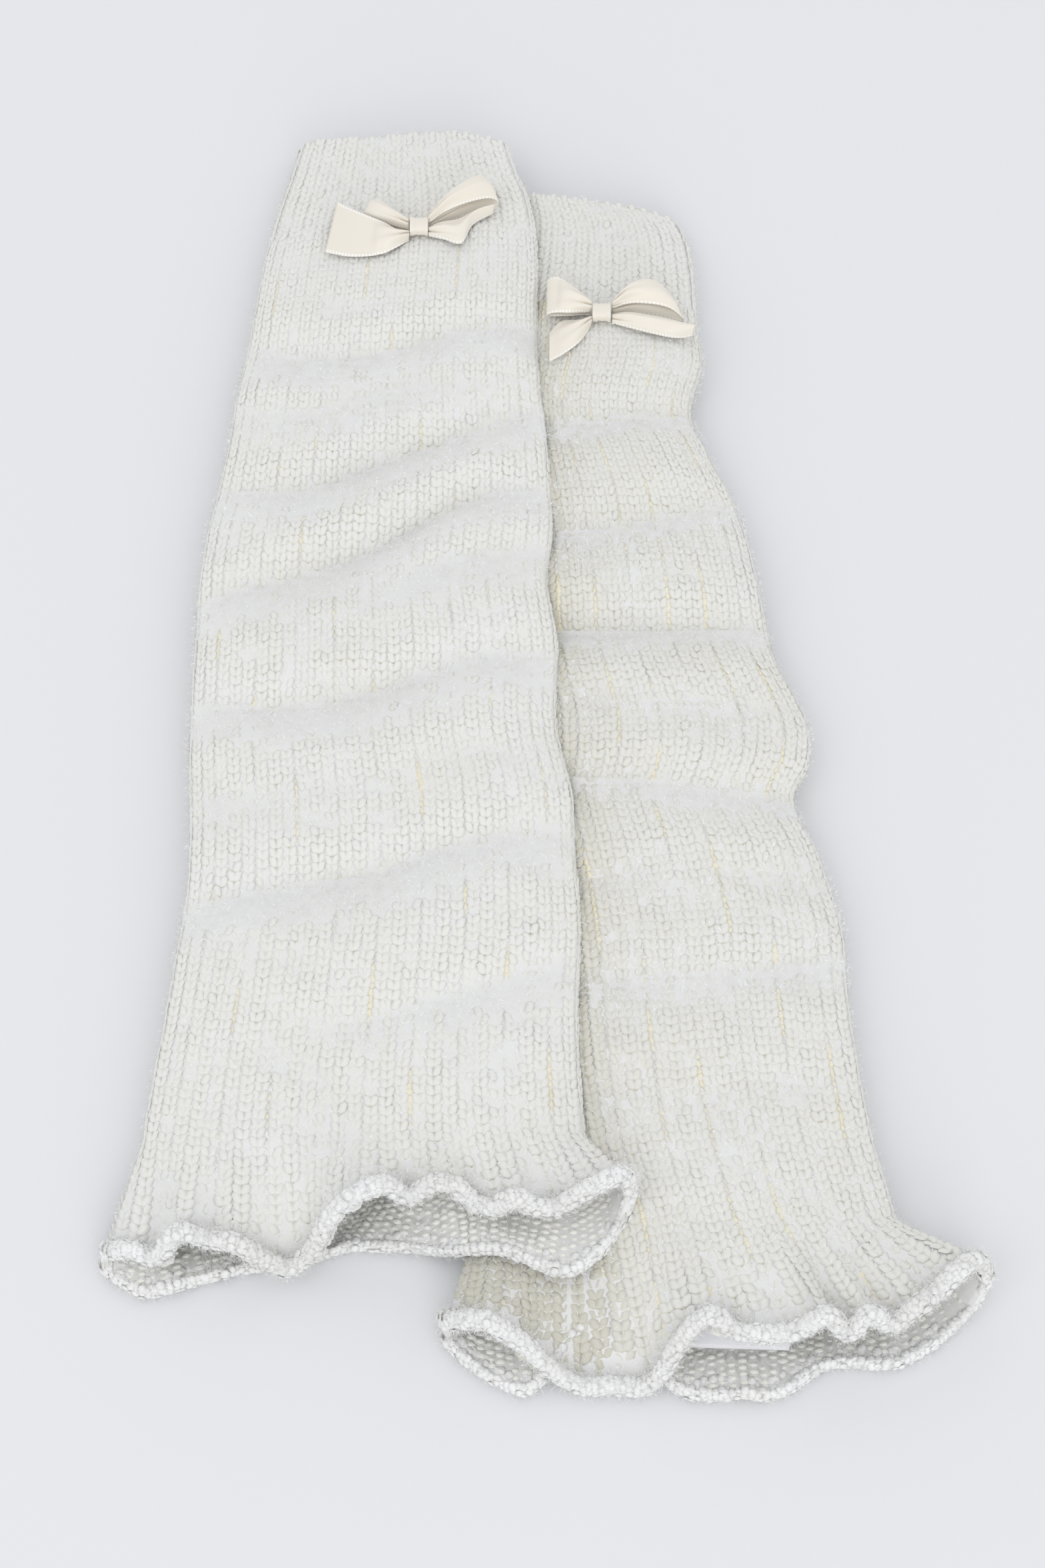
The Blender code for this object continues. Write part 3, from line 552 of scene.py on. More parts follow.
def lowPoints(warmer, y):  # the underside from the right seam to the left one; y is a column
    steps = warmer["lowIntervals"] * cloth["lowRefine"]
    q = np.arange(steps + 1) / cloth["lowRefine"]
    last = warmer["lowIntervals"]
    corner = cloth["cornerIntervals"]
    left, right = sectionValue(warmer, 1, y), sectionValue(warmer, 2, y)
    sides = []
    for side, edge in ((1, right), (-1, left)):
        support = supportAt(warmer, edge, y)
        seam = topHeights(warmer, np.full_like(y, float(side)), y)[1]
        radius = seam - support
        sides.append((edge - side * radius, radius, support))
    rightEnd, leftEnd = sides[0][0], sides[1][0]
    if warmer is under:
        middle = rightEnd + (leftEnd - rightEnd) * (q - corner) / (last - 2 * corner)
    else:
        foot = sectionValue(under, 1, y) - lie["rampEnd"]
        head = foot - (lie["rampStart"] - lie["rampEnd"])
        knots = [rightEnd, (rightEnd + foot) / 2] + [foot + (head - foot) * k / 4 for k in range(5)]
        knots += [head + (leftEnd - head) * k / 3 for k in (1, 2, 3)]
        knots = np.concatenate(knots, axis=1)
        rows = [np.interp(q - corner, np.arange(knots.shape[1]), row) for row in knots]
        middle = np.array(rows)
    flat = smoothStep(np.minimum(q, last - q) / corner)
    inset = cloth["halfWall"] + (cloth["lowInset"] - cloth["halfWall"]) * flat
    x, z = middle, supportAt(warmer, middle, y) + inset
    for (centre, radius, support), side, turn in ((sides[0], 1, q), (sides[1], -1, last - q)):
        angle = math.pi / 2 * np.clip(turn / corner, 0, 1)
        reach = radius - inset
        inCorner = turn <= corner
        x = np.where(inCorner, centre + side * reach * np.cos(angle), x)
        z = np.where(inCorner, support + radius - reach * np.sin(angle), z)
    return np.stack(np.broadcast_arrays(x, y, z), -1).astype(float)


def edgeLine(table, shares):  # points along a smooth line through an edge table
    table = np.array(table, float)
    knots = runLength(table)
    return np.stack([spline(knots, table[:, axis], shares * knots[-1]) for axis in range(3)], -1)


def unit(vectors):
    return vectors / np.maximum(np.linalg.norm(vectors, axis=-1, keepdims=True), 1e-9)


def gridNormals(grid):  # outward normals of a closed tube of points
    around = np.roll(grid, -1, axis=1) - np.roll(grid, 1, axis=1)
    along = np.gradient(grid, axis=0)
    return unit(np.cross(along, around))


def tubeGrid(warmer):
    # Points all round the tube, midway in the wall, from the cuff's edge to the curled rim.
    shares = np.arange(cloth["topColumns"]) / (cloth["topColumns"] - 1)
    s, rise = profilePlaces(shares)
    cuffLine = spline(stations, warmer["cuffTop"], s)
    cuffRows = int(round((warmer["cuffTop"][2] - warmer["cuffSeam"]) / cloth["rowStep"]))
    bodyRows = int(round((warmer["cuffSeam"] - warmer["hemSeam"]) / cloth["rowStep"]))
    t = np.arange(cuffRows)[:, None] / cuffRows
    cuffY = cuffLine * (1 - t) + warmer["cuffSeam"] * t
    bodyY = warmer["cuffSeam"] + (warmer["hemSeam"] - warmer["cuffSeam"]) * (
        np.arange(bodyRows + 1)[:, None] / bodyRows)
    y = np.concatenate([cuffY, np.repeat(bodyY, len(s), axis=1)])
    top = topPoints(warmer, s[None], rise[None], y, cloth["halfWall"])
    fade = np.clip((y - warmer["hemSeam"]) / cloth["overhangEnd"], 0, 1)
    top[..., 1] -= foldLip(warmer, s[None], y) * rise[None] ** 0.5 * fade
    lowCount = warmer["lowIntervals"] * cloth["lowRefine"]
    across = np.linspace(0, 1, lowCount + 1)[None]
    lowY = y[:, -1:] + (y[:, :1] - y[:, -1:]) * across
    low = lowPoints(warmer, y[:, -1:])
    low[..., 1] = lowY
    ring = np.concatenate([top, low[:, 1:-1]], axis=1)
    start = ring[-1]
    radius = cloth["curlRadius"]
    edgeTop = edgeLine(warmer["hemTop"], shares)
    edgeLow = edgeLine(warmer["hemLow"][::-1], np.arange(1, lowCount) / lowCount)
    edge = np.concatenate([edgeTop, edgeLow])
    edge[:, 2] = np.maximum(edge[:, 2], radius + cloth["edgeClearance"])
    share = (np.arange(1, cloth["hemRows"] + 1) / cloth["hemRows"])[:, None, None]
    hem = start + (edge - start) * share
    hem[..., 2] = start[:, 2] + (edge[:, 2] - start[:, 2]) * share[..., 0] ** cloth["hemSweep"]
    whole = np.concatenate([ring, hem])
    out = gridNormals(whole)[-1]
    onward = unit(edge - start)
    onward = unit(onward - (onward * out).sum(-1, keepdims=True) * out)
    dropped = smoothStep((share - cloth["rimDropStart"]) / cloth["rimDropRun"])
    whole[-len(hem):] -= out * radius * cloth["rimDrop"] * dropped
    steps = np.arange(1, cloth["curlRows"] + 1) / cloth["curlRows"]
    turns = np.radians(-90 + cloth["curlTurn"] * steps)
    spiral = radius * (1 - cloth["curlTighten"] * steps)
    curl = [edge + r * (math.cos(a) * onward + math.sin(a) * out) for a, r in zip(turns, spiral)]
    whole = np.concatenate([whole, np.array(curl)])
    raised = smoothStep((whole[..., 2] - cloth["waverFrom"]) / cloth["waverRun"])
    whole[..., 2] += waver(whole) * raised * (out[:, 2] > 0)
    whole[..., 2] = np.maximum(whole[..., 2], cloth["lowInset"])
    return {
        "points": whole,
        "normals": gridNormals(whole),
        "cuffRows": cuffRows,
        "bodyEnd": cuffRows + bodyRows,
        "hemEnd": cuffRows + bodyRows + cloth["hemRows"],
        "topColumns": cloth["topColumns"],
        "rowY": whole[:, cloth["topColumns"] // 2, 1],
    }


over["grid"] = tubeGrid(over)
under["grid"] = tubeGrid(under)
print("cloth surfaces are laid out")


yarn = {
    "pale": (0.812, 0.809, 0.782),
    "cream": (0.808, 0.797, 0.748),
    "white": (0.890, 0.890, 0.885),
    # painted shade: the nap's fibres are a little darker and greyer than the stitches, for the shade of the
    # zones below the folds where they gather
    "napPale": (0.806, 0.804, 0.790),
    "napDeep": (0.786, 0.783, 0.768),
    "glint": (0.975, 0.975, 0.970),
    # painted light: the cloth's inner face inside the hem is much paler than the outside yarn, to lift the
    # shade in the hollow
    "innerPale": (0.940, 0.934, 0.890),
    "innerDeep": (0.920, 0.905, 0.830),
    "shellPale": (0.805, 0.805, 0.797),
    "shellDeep": (0.797, 0.792, 0.775),
    # painted shade: the dark cream that stitches turn towards in the holes where their legs meet and in the
    # crevice beside the over warmer
    "tintAndShade": (0.470, 0.430, 0.285),
    # painted shade: the purl bars in the rib grooves are the same yarn, tinted cream-tan for the shade down
    # in the grooves
    "groovePale": (0.850, 0.805, 0.660),
    "grooveDeep": (0.840, 0.780, 0.590),
    "blotchScale": 42.0,
    "fibreScale": 1500.0,
    "fibreBump": 0.00016,
    "glintScale": 900.0,
    "knitBump": 0.0032,
    "knitSlant": 1.2,
    "jointPower": 2.0,
    "tintRange": (0.35, 0.75),
    "fleckRange": (0.60, 0.68),
    "roughness": 0.9,
    "finish": {
        "Sheen Weight": 0.35, "Sheen Roughness": 0.5, "Sheen Tint": (1.0, 1.0, 0.98, 1.0),
        "Specular IOR Level": 0.35,
    },
}


def yarnMaterial(name, pale, cream, fleckRoughness, knitted=False, stitched=False):
    # Yarn in blotches of two tints, with fibres as relief and glossier flecks.
    material, shader, tree = newMaterial(name, yarn["finish"])
    link = tree.links.new
    place = addNode(tree, "ShaderNodeTexCoord").outputs["Object"]
    blotch = addNode(tree, "ShaderNodeTexNoise", Scale=yarn["blotchScale"], Detail=3.0, Roughness=0.6)
    link(place, blotch.inputs["Vector"])
    share = mapRange(tree, blotch.outputs["Fac"], yarn["tintRange"], (0.0, 1.0))
    colour = mixColours(tree, share, pale, cream)
    if stitched:  # darker and creamier where the legs of a stitch meet: painted shade in the holes between them, and on the under warmer its cream tint with painted shade beside the over one
        tintAndShade = addNode(tree, "ShaderNodeAttribute", attribute_name="tintAndShade")
        sharp = mathNode(tree, "POWER", tintAndShade.outputs["Fac"], yarn["jointPower"])
        colour = mixColours(tree, sharp, colour, yarn["tintAndShade"])
    fibre = addNode(tree, "ShaderNodeTexNoise", Scale=yarn["fibreScale"], Detail=4.0, Roughness=0.7)
    relief = bumpFrom(tree, fibre, place, yarn["fibreBump"], 0.8)
    if knitted:  # small slanted legs of stitches, from the shell's own map of wales and rows
        spot = addNode(tree, "ShaderNodeUVMap", uv_map="knit")
        split = addNode(tree, "ShaderNodeSeparateXYZ")
        link(spot.outputs["UV"], split.inputs["Vector"])
        isMapped = mathNode(tree, "GREATER_THAN", split.outputs["X"], 0.0)
        colour = mixColours(tree, isMapped, colour, yarn["pale"])
        fromSide = mathNode(tree, "PINGPONG", split.outputs["X"], 0.5)
        slant = mathNode(tree, "MULTIPLY_ADD", fromSide, yarn["knitSlant"], split.outputs["Y"])
        leg = mathNode(tree, "PINGPONG", slant, 0.5)
        plump = mathNode(tree, "MULTIPLY", leg, fromSide)
        knitBump = addNode(tree, "ShaderNodeBump", Distance=yarn["knitBump"], Strength=0.9)
        link(plump, knitBump.inputs["Height"])
        link(relief, knitBump.inputs["Normal"])
        relief = knitBump.outputs["Normal"]
    fleck = addNode(tree, "ShaderNodeTexNoise", Scale=yarn["glintScale"], Detail=1.0)
    link(place, fleck.inputs["Vector"])
    gloss = mapRange(tree, fleck.outputs["Fac"], yarn["fleckRange"], (yarn["roughness"], fleckRoughness))
    link(colour, shader.inputs["Base Color"])
    link(relief, shader.inputs["Normal"])
    link(gloss, shader.inputs["Roughness"])
    return material


stitchYarn = yarnMaterial("stitchYarn", yarn["pale"], yarn["cream"], 0.3, stitched=True)
shellYarn = yarnMaterial("shellYarn", yarn["shellPale"], yarn["shellDeep"], 0.8, knitted=True)
innerLitYarn = yarnMaterial("innerLitYarn", yarn["innerPale"], yarn["innerDeep"], 0.7)
grooveShadedYarn = yarnMaterial("grooveShadedYarn", yarn["groovePale"], yarn["grooveDeep"], 0.7)
napYarn = yarnMaterial("napYarn", yarn["napPale"], yarn["napDeep"], 0.6)
fluffYarn = yarnMaterial("fluffYarn", yarn["white"], yarn["pale"], 0.5)
glintYarn = yarnMaterial("glintYarn", yarn["glint"], yarn["white"], 0.25)


def finishPiece(name, mesh, material):
    mesh.materials.append(material)
    mesh.shade_smooth()
    piece = bpy.data.objects.new(name, mesh)
    bpy.context.collection.objects.link(piece)
    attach(piece, "root")
    return piece


def toMetres(points):
    return (points - pairCentre) * mm


def gridSurface(bm, points, spots=None, layerName="cloth"):
    # A created grid whose points are moved into place, with its own map when spots are given.
    rows, columns = points.shape[:2]
    made = bmesh.ops.create_grid(bm, x_segments=columns - 1, y_segments=rows - 1, size=0.5)
    places = toMetres(points[::-1]).reshape(-1, 3)
    for vert, place in zip(made["verts"], places):
        vert.co = place
    if spots is not None:
        layer = bm.loops.layers.uv.new(layerName)
        values = spots[::-1].reshape(-1, 2)
        bm.verts.index_update()
        for face in bm.faces:
            here = values[[loop.vert.index for loop in face.loops]]
            if here[:, 0].min() < 0:
                here[:, 0] = -1.0
            for loop, value in zip(face.loops, here):
                loop[layer].uv = value
    return made["verts"]


def closedAt(warmer, rib, y):  # 1 where neighbouring ribs meet and hide the groove between them
    slow = np.sin(y * meeting["slowWave"] + rib * meeting["slowShift"])
    fast = np.sin(y * meeting["fastWave"] + rib * meeting["fastShift"] + 1.0)
    wave = slow + meeting["fastShare"] * fast
    left, right = sectionValue(warmer, 1, y), sectionValue(warmer, 2, y)
    x = left + (right - left) * (profilePlaces(rib / stitch["ribs"])[0] + 1) / 2
    closed = smoothStep((wave + warmer["snug"]) / meeting["spread"] + 0.5)
    return np.maximum(closed, softAt(warmer, x, y))


def softAt(warmer, x, y):  # 1 where the nap hides the stitches: below a fold, by the hem, in patches
    left, right = sectionValue(warmer, 1, y), sectionValue(warmer, 2, y)
    s = np.clip((2 * x - left - right) / (right - left), -1, 1)
    patch = np.sin(x * 0.10 + y * 0.045 + 1.0) + np.sin(x * 0.043 - y * 0.085)
    soft = nap["patchShare"] * smoothStep((patch - nap["patchStart"]) / nap["patchSpread"])
    for places, dips in warmer["folds"]:
        below = spline(stations, places, s) - y
        share = np.clip(spline(stations, dips, s) / nap["fullDip"], 0, 1)
        begun = smoothStep((below + nap["foldLead"]) / nap["foldRise"])
        ended = smoothStep((below - warmer["napReach"] + nap["fadeLead"]) / nap["fadeLength"])
        soft = np.maximum(soft, share * (begun * (1 - ended)))
    edge = np.array(warmer["hemTop"], float)
    inside = np.interp(x, edge[:, 0], edge[:, 1]) + nap["hemReach"] - y
    soft = np.maximum(soft, nap["hemShare"] * smoothStep(inside / nap["hemFade"]))
    return np.clip(soft, 0, 1)


def uncovered(points, margin, front):  # where the over warmer leaves the under one in sight
    x, y = points[..., 0], points[..., 1]
    return (x > sectionValue(over, 2, y) - margin) | (y < front)


def thicken(piece, thickness):  # a wall on both sides of the sheet
    wall = piece.modifiers.new("wall", "SOLIDIFY")
    wall.thickness = thickness * mm
    wall.offset = 0.0


def shellTube(warmer):
    grid = warmer["grid"]
    points = grid["points"].copy()
    columns = np.arange(grid["topColumns"])
    phase = columns * stitch["ribs"] / (grid["topColumns"] - 1)
    groove = np.exp(-((phase - np.round(phase)) / cloth["grooveWidth"]) ** 2)
    body = slice(grid["cuffRows"], grid["hemEnd"] - cloth["grooveEnd"])
    closed = closedAt(warmer, np.round(phase)[None], grid["rowY"][body][:, None])
    depth = cloth["grooveDepth"] * groove[None] * (1 - cloth["grooveClosed"] * closed)
    points[body, :len(columns)] -= grid["normals"][body, :len(columns)] * depth[..., None]
    points = np.concatenate([points, points[:, :1]], axis=1)
    around = runLength(points[grid["bodyEnd"] // 2])
    down = runLength(points[:, grid["topColumns"] // 2])
    wales = np.round(around[-1] / purl["wale"])
    beneath = np.arange(len(around)) > grid["topColumns"] + 2 * cloth["lowRefine"]
    wale = np.where(beneath, around / around[-1] * wales, -1.0)  # below nought the shell stays plain
    spots = np.stack(np.broadcast_arrays(wale[None], -down[:, None] / stitch["row"]), -1)
    seamRow = grid["bodyEnd"] - cloth["seamRows"]
    rows = np.concatenate([np.arange(0, seamRow, cloth["shellRowSkip"]),
                           np.arange(seamRow, len(points) - 1, cloth["hemRowSkip"]),
                           [len(points) - 1]])
    kept = np.unique(np.append(np.arange(0, points.shape[1], cloth["shellColumnSkip"]),
                               points.shape[1] - 1))
    bm = bmesh.new()
    verts = gridSurface(bm, points[rows][:, kept], spots[rows][:, kept], "knit")
    seam = [verts[row * len(kept) + end] for row in range(len(rows)) for end in (0, len(kept) - 1)]
    bmesh.ops.remove_doubles(bm, verts=seam, dist=1e-6)
    bmesh.ops.recalc_face_normals(bm, faces=bm.faces[:])
    name = warmer["name"]
    tube = finishPiece(name + "Tube", meshFrom(bm, name + "Tube"), shellYarn)
    thicken(tube, cloth["shellThickness"])
    nodes = ("_cuff_front", "_cuff_back", "_front", "_back", "_hem")
    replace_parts(tube, *[name + node for node in nodes])
    return tube


def yarnPod():
    # A short bulge of yarn: x across, y along, z out of the cloth.
    bm = bmesh.new()
    bmesh.ops.create_uvsphere(bm, u_segments=stitch["podSides"], v_segments=stitch["podSteps"], radius=1.0)
    bmesh.ops.triangulate(bm, faces=bm.faces[:])
    for vert in bm.verts:
        vert.co = Vector((vert.co.x, vert.co.z, vert.co.y))
    bmesh.ops.reverse_faces(bm, faces=bm.faces[:])
    bm.verts.index_update()
    points = np.array([vert.co[:] for vert in bm.verts])
    faces = np.array([[vert.index for vert in face.verts] for face in bm.faces])
    bm.free()
    return points, faces


def joinedCopies(name, faces, points, material, out, napShare, joints=None):
    # One mesh of many small copies; points is (copies, points of each, 3) in millimetres.
    # The nap scatters light, so the shading leans towards out, the cloth's own normals.
    copies, count = points.shape[:2]
    corners = (np.arange(copies)[:, None, None] * count + faces[None]).ravel()
    points = points.reshape(-1, 3)
    points[:, 2] = np.maximum(points[:, 2], 0.02)
    mesh = bpy.data.meshes.new(name)
    mesh.vertices.add(copies * count)
    mesh.vertices.foreach_set("co", toMetres(points).astype(np.float32).ravel())
    mesh.loops.add(len(corners))
    mesh.loops.foreach_set("vertex_index", corners.astype(np.int32))
    mesh.polygons.add(len(corners) // faces.shape[1])
    mesh.polygons.foreach_set("loop_start", np.arange(0, len(corners), faces.shape[1], dtype=np.int32))
    mesh.update(calc_edges=True)
    # joints: how far each point turns towards the dark cream of painted shade
    if joints is not None:
        layer = mesh.attributes.new("tintAndShade", "FLOAT", "POINT")
        layer.data.foreach_set("value", joints.astype(np.float32).ravel())
    piece = finishPiece(name, mesh, material)
    if napShare:
        own = np.empty(copies * count * 3, np.float32)
        mesh.vertex_normals.foreach_get("vector", own)
        lean = napShare * np.clip(2 * out[:, 2:], 0, 1)  # none down the sides, which are seen edge on
        lean, out = np.repeat(lean, count, axis=0), np.repeat(out, count, axis=0)
        shading = unit(own.reshape(-1, 3) * (1 - lean) + out * lean)
        mesh.normals_split_custom_set_from_vertices(shading)
    return piece


def surfaceAt(values, rows, columns):
    # Values of the tube's grid between its rows and columns.
    high, wide = values.shape[:2]
    rows = np.clip(rows, 0, high - 1.001)
    columns = np.mod(columns, wide)
    i, j = rows.astype(int), columns.astype(int)
    t, u = (rows - i)[:, None], (columns - j)[:, None]
    k = (j + 1) % wide
    upper = values[i, j] * (1 - u) + values[i, k] * u
    lower = values[i + 1, j] * (1 - u) + values[i + 1, k] * u
    return upper * (1 - t) + lower * t


def yarnLine(grid, columnAt, wide, first, last, row, offset):
    # Even steps down one column: places, the ways across, up and out, and the width there.
    points = grid["points"]
    rows = np.arange(first, last)
    line = surfaceAt(points, rows, columnAt(rows))
    run = runLength(line)
    rows = np.interp(np.arange(offset * row, run[-1], row), run, rows)
    columns = columnAt(rows)
    centre = surfaceAt(points, rows, columns)
    reach = stitch["acrossReach"]
    across = surfaceAt(points, rows, columns + reach) - surfaceAt(points, rows, columns - reach)
    above, below = (surfaceAt(points, rows + step, columnAt(rows + step)) for step in (-1, 1))
    up = unit(above - below)
    across = unit(across - (across * up).sum(-1, keepdims=True) * up)
    out = unit(np.cross(across, up))
    sides = surfaceAt(points, rows, columns + wide / 2) - surfaceAt(points, rows, columns - wide / 2)
    return {"centre": centre, "across": across, "up": up, "out": out,
            "width": np.linalg.norm(sides, axis=1)}


def shownLine(warmer, line):
    # What the over warmer covers on the under one is left out.
    if warmer is over:
        return line
    keep = uncovered(line["centre"], stitch["coveredMargin"], stitch["coveredFront"])
    return {key: value[keep] for key, value in line.items()}


def podPlaces(base, line, size, raised, jitter, side=1):
    # One pod at each step, size across, along and out, on the outside or (side -1) the inside.
    count = len(line["centre"])
    plump = 1 + dice.normal(0, stitch["plumpness"], (count, 1))
    x = base[None, :, 0] * size[0] * plump
    y = base[None, :, 1] * size[1] * plump
    z = base[None, :, 2] * size[2] + raised
    place = line["centre"][:, None] + dice.normal(0, jitter, (count, 1, 3))
    place = place + side * x[..., None] * line["across"][:, None] + y[..., None] * line["up"][:, None]
    return place + side * z[..., None] * line["out"][:, None]


def legPlaces(base, line, row, raised, soft, underTintAndCreviceShade):
    # Both legs of every stitch: pods slanted outwards from the foot of the V.
    copies = []
    count = len(line["centre"])
    width = np.clip(line["width"], *stitch["waleLimits"])[:, None]
    flat = 1 - stitch["softDepth"] * soft[:, None]
    for side in (-1, 1):
        x = base[None, :, 0] * stitch["legWidth"] * (1 + stitch["softWidth"] * soft[:, None])
        y = base[None, :, 1] * stitch["legLength"] / 2
        z = base[None, :, 2] * stitch["legDepth"] * flat
        bend = stitch["bend"] * (stitch["bendTop"] - base[None, :, 1] ** 2) * flat
        jolt = dice.normal(0, stitch["jitter"], (count, 3))
        plump = 1 + dice.normal(0, stitch["legPlumpness"], (count, 1))
        x = (x * plump + side * (stitch["legSpread"] + stitch["legSlant"] * y)) * width
        y = y * row
        z = z * plump + bend + raised - stitch["softSink"] * soft[:, None]
        place = line["centre"][:, None] + jolt[:, None]
        place = place + x[..., None] * line["across"][:, None] + y[..., None] * line["up"][:, None]
        copies.append(place + z[..., None] * line["out"][:, None])
    # Painted shade of the holes gathers at a leg's ends and fades where the nap is soft; on the under
    # warmer it never drops below that warmer's cream tint and painted crevice shade.
    foot = np.clip((np.abs(base[:, 1]) - stitch["jointStart"]) / stitch["jointRun"], 0, 1)
    foot = foot * np.where(base[:, 1] < 0, 1.0, stitch["jointTop"])
    foot = np.maximum(foot[None] * (1 - soft[:, None]), underTintAndCreviceShade[:, None])
    return np.concatenate(copies), np.concatenate([foot, foot])


def ribWale(warmer, rib, k):  # the column of one of a rib's three knit wales, row by row
    grid = warmer["grid"]
    span = grid["topColumns"] - 1

    def columnAt(rows):
        y = np.interp(rows, np.arange(len(grid["rowY"])), grid["rowY"])
        edge = rib + 0.5 + 0.5 * k
        closed = closedAt(warmer, np.round(edge), y)
        share = stitch["openShare"] + (stitch["closedShare"] - stitch["openShare"]) * closed
        return (rib + 0.5 + k * share) / stitch["ribs"] * span
    return columnAt


def steadyColumn(column):
    return lambda rows: np.full(np.shape(rows), float(column))


def bodyWales(warmer):
    # (column row by row, width in columns, raised) of each knit wale, the sides included.
    grid = warmer["grid"]
    span = grid["topColumns"] - 1
    wide = stitch["openShare"] / stitch["ribs"] * span
    wales = [(ribWale(warmer, rib, k), wide * stitch["waleOverlap"], stitch["crown"] * (k == 0))
             for rib in range(stitch["ribs"]) for k in (-1, 0, 1)]
    step = cloth["lowRefine"] * stitch["sidePitch"]
    count = grid["points"].shape[1]
    for k in range(3):
        if warmer["sideWales"][1]:
            wales.append((steadyColumn(span + step * (k + 0.5)), step, 0.0))
        if warmer["sideWales"][0]:
            wales.append((steadyColumn(count - step * (k + 0.5)), step, 0.0))
    return wales


def knitStitches(warmer, wales, first, last):
    base, faces = yarnPod()
    made, joints, out = [], [], []
    for number, (columnAt, wide, crown) in enumerate(wales):
        offset = 0.5 + 0.08 * math.sin(number * 2.1)
        line = shownLine(warmer, yarnLine(warmer["grid"], columnAt, wide, first, last,
                                          stitch["row"], offset))
        if len(line["centre"]):
            soft = softAt(warmer, line["centre"][:, 0], line["centre"][:, 1])
            underTintAndCreviceShade = np.zeros(len(soft))
            # The under warmer's cream tint all over, with painted shade in the crevice beside the over
            # warmer, fading away from its edge.
            if warmer is under:
                beside = line["centre"][:, 0] - sectionValue(over, 2, line["centre"][:, 1])
                nearness = np.exp(-np.maximum(beside, 0) / stitch["creviceShadeReach"])
                underTintAndCreviceShade = stitch["cream"] + stitch["creviceShade"] * nearness
            legs, foot = legPlaces(base, line, stitch["row"], stitch["sunk"] + crown, soft, underTintAndCreviceShade)
            made.append(legs)
            joints.append(foot)
            out += [line["out"], line["out"]]
    return np.concatenate(made), np.concatenate(joints), np.concatenate(out), faces


def columnsRound(grid, row, pitch):  # columns at an even pitch all round one row of the tube
    run = runLength(grid["points"][row])
    count = int(run[-1] / pitch)
    return np.interp((np.arange(count) + 0.5) * run[-1] / count, run, np.arange(len(run)))


def purlPieces(warmer):
    # Tucked purl bars in the grooves, tinted with painted shade, and the bumps of the cloth's inner face
    # inside the hem, paled with painted light.
    grid = warmer["grid"]
    base, faces = yarnPod()
    span = grid["topColumns"] - 1
    bars, barsOut, bumpsOut = [], [], []
    for rib in range(1, stitch["ribs"]):
        column = steadyColumn(rib / stitch["ribs"] * span)
        offset = 0.5 + 0.2 * math.sin(rib * 3.0)
        line = shownLine(warmer, yarnLine(grid, column, purl["laneWidth"], grid["cuffRows"],
                                          grid["hemEnd"] - 4, purl["grooveRow"], offset))
        if len(line["centre"]):
            wide, tall, deep = purl["grooveSize"]
            across = (wide * np.clip(line["width"] * purl["barSpread"], *purl["barLimits"]))[:, None]
            closed = closedAt(warmer, rib, line["centre"][:, 1])[:, None]
            raised = purl["barRaised"] - purl["barClosed"] * closed
            bars.append(podPlaces(base, line, (across, tall, deep), raised, purl["barJitter"]))
            barsOut.append(line["out"])
    bumps = []
    for k, column in enumerate(columnsRound(grid, grid["hemEnd"] - 10, purl["wale"])):
        line = yarnLine(grid, steadyColumn(column), purl["laneWidth"], grid["bodyEnd"] - 8,
                        grid["hemEnd"] + 1, purl["row"], 0.3 + 0.5 * (k % 2))
        bumps.append(podPlaces(base, line, purl["size"], purl["bumpRaised"], purl["bumpJitter"], -1))
        bumpsOut.append(-line["out"])
    name = warmer["name"]
    return [joinedCopies(name + "GrooveBars", faces, np.concatenate(bars), grooveShadedYarn,
                         np.concatenate(barsOut), stitch["napShare"]),
            joinedCopies(name + "InnerHem", faces, np.concatenate(bumps), innerLitYarn,
                         np.concatenate(bumpsOut), stitch["napShare"])]


def rolledRim(warmer):
    # The curled edge shows the cloth's inner face outside: soft bulges all round the roll.
    grid = warmer["grid"]
    base, faces = yarnPod()
    made, out = [], []
    for column in columnsRound(grid, -cloth["curlRows"] // 2, rim["wale"]):
        line = yarnLine(grid, steadyColumn(column), purl["laneWidth"], grid["hemEnd"] - 3,
                        len(grid["points"]), rim["row"], dice.uniform(0.1, 0.9))
        swing = dice.uniform(-rim["swing"], rim["swing"], (len(line["up"]), 1))
        up = unit(line["up"] + swing * line["across"])
        line["across"] = unit(line["across"] - swing * line["up"])
        line["up"] = up
        made.append(podPlaces(base, line, rim["size"], rim["raised"], rim["jitter"], -1))
        out.append(-line["out"])
    return joinedCopies(warmer["name"] + "Rim", faces, np.concatenate(made), fluffYarn,
                        np.concatenate(out), rim["napShare"])


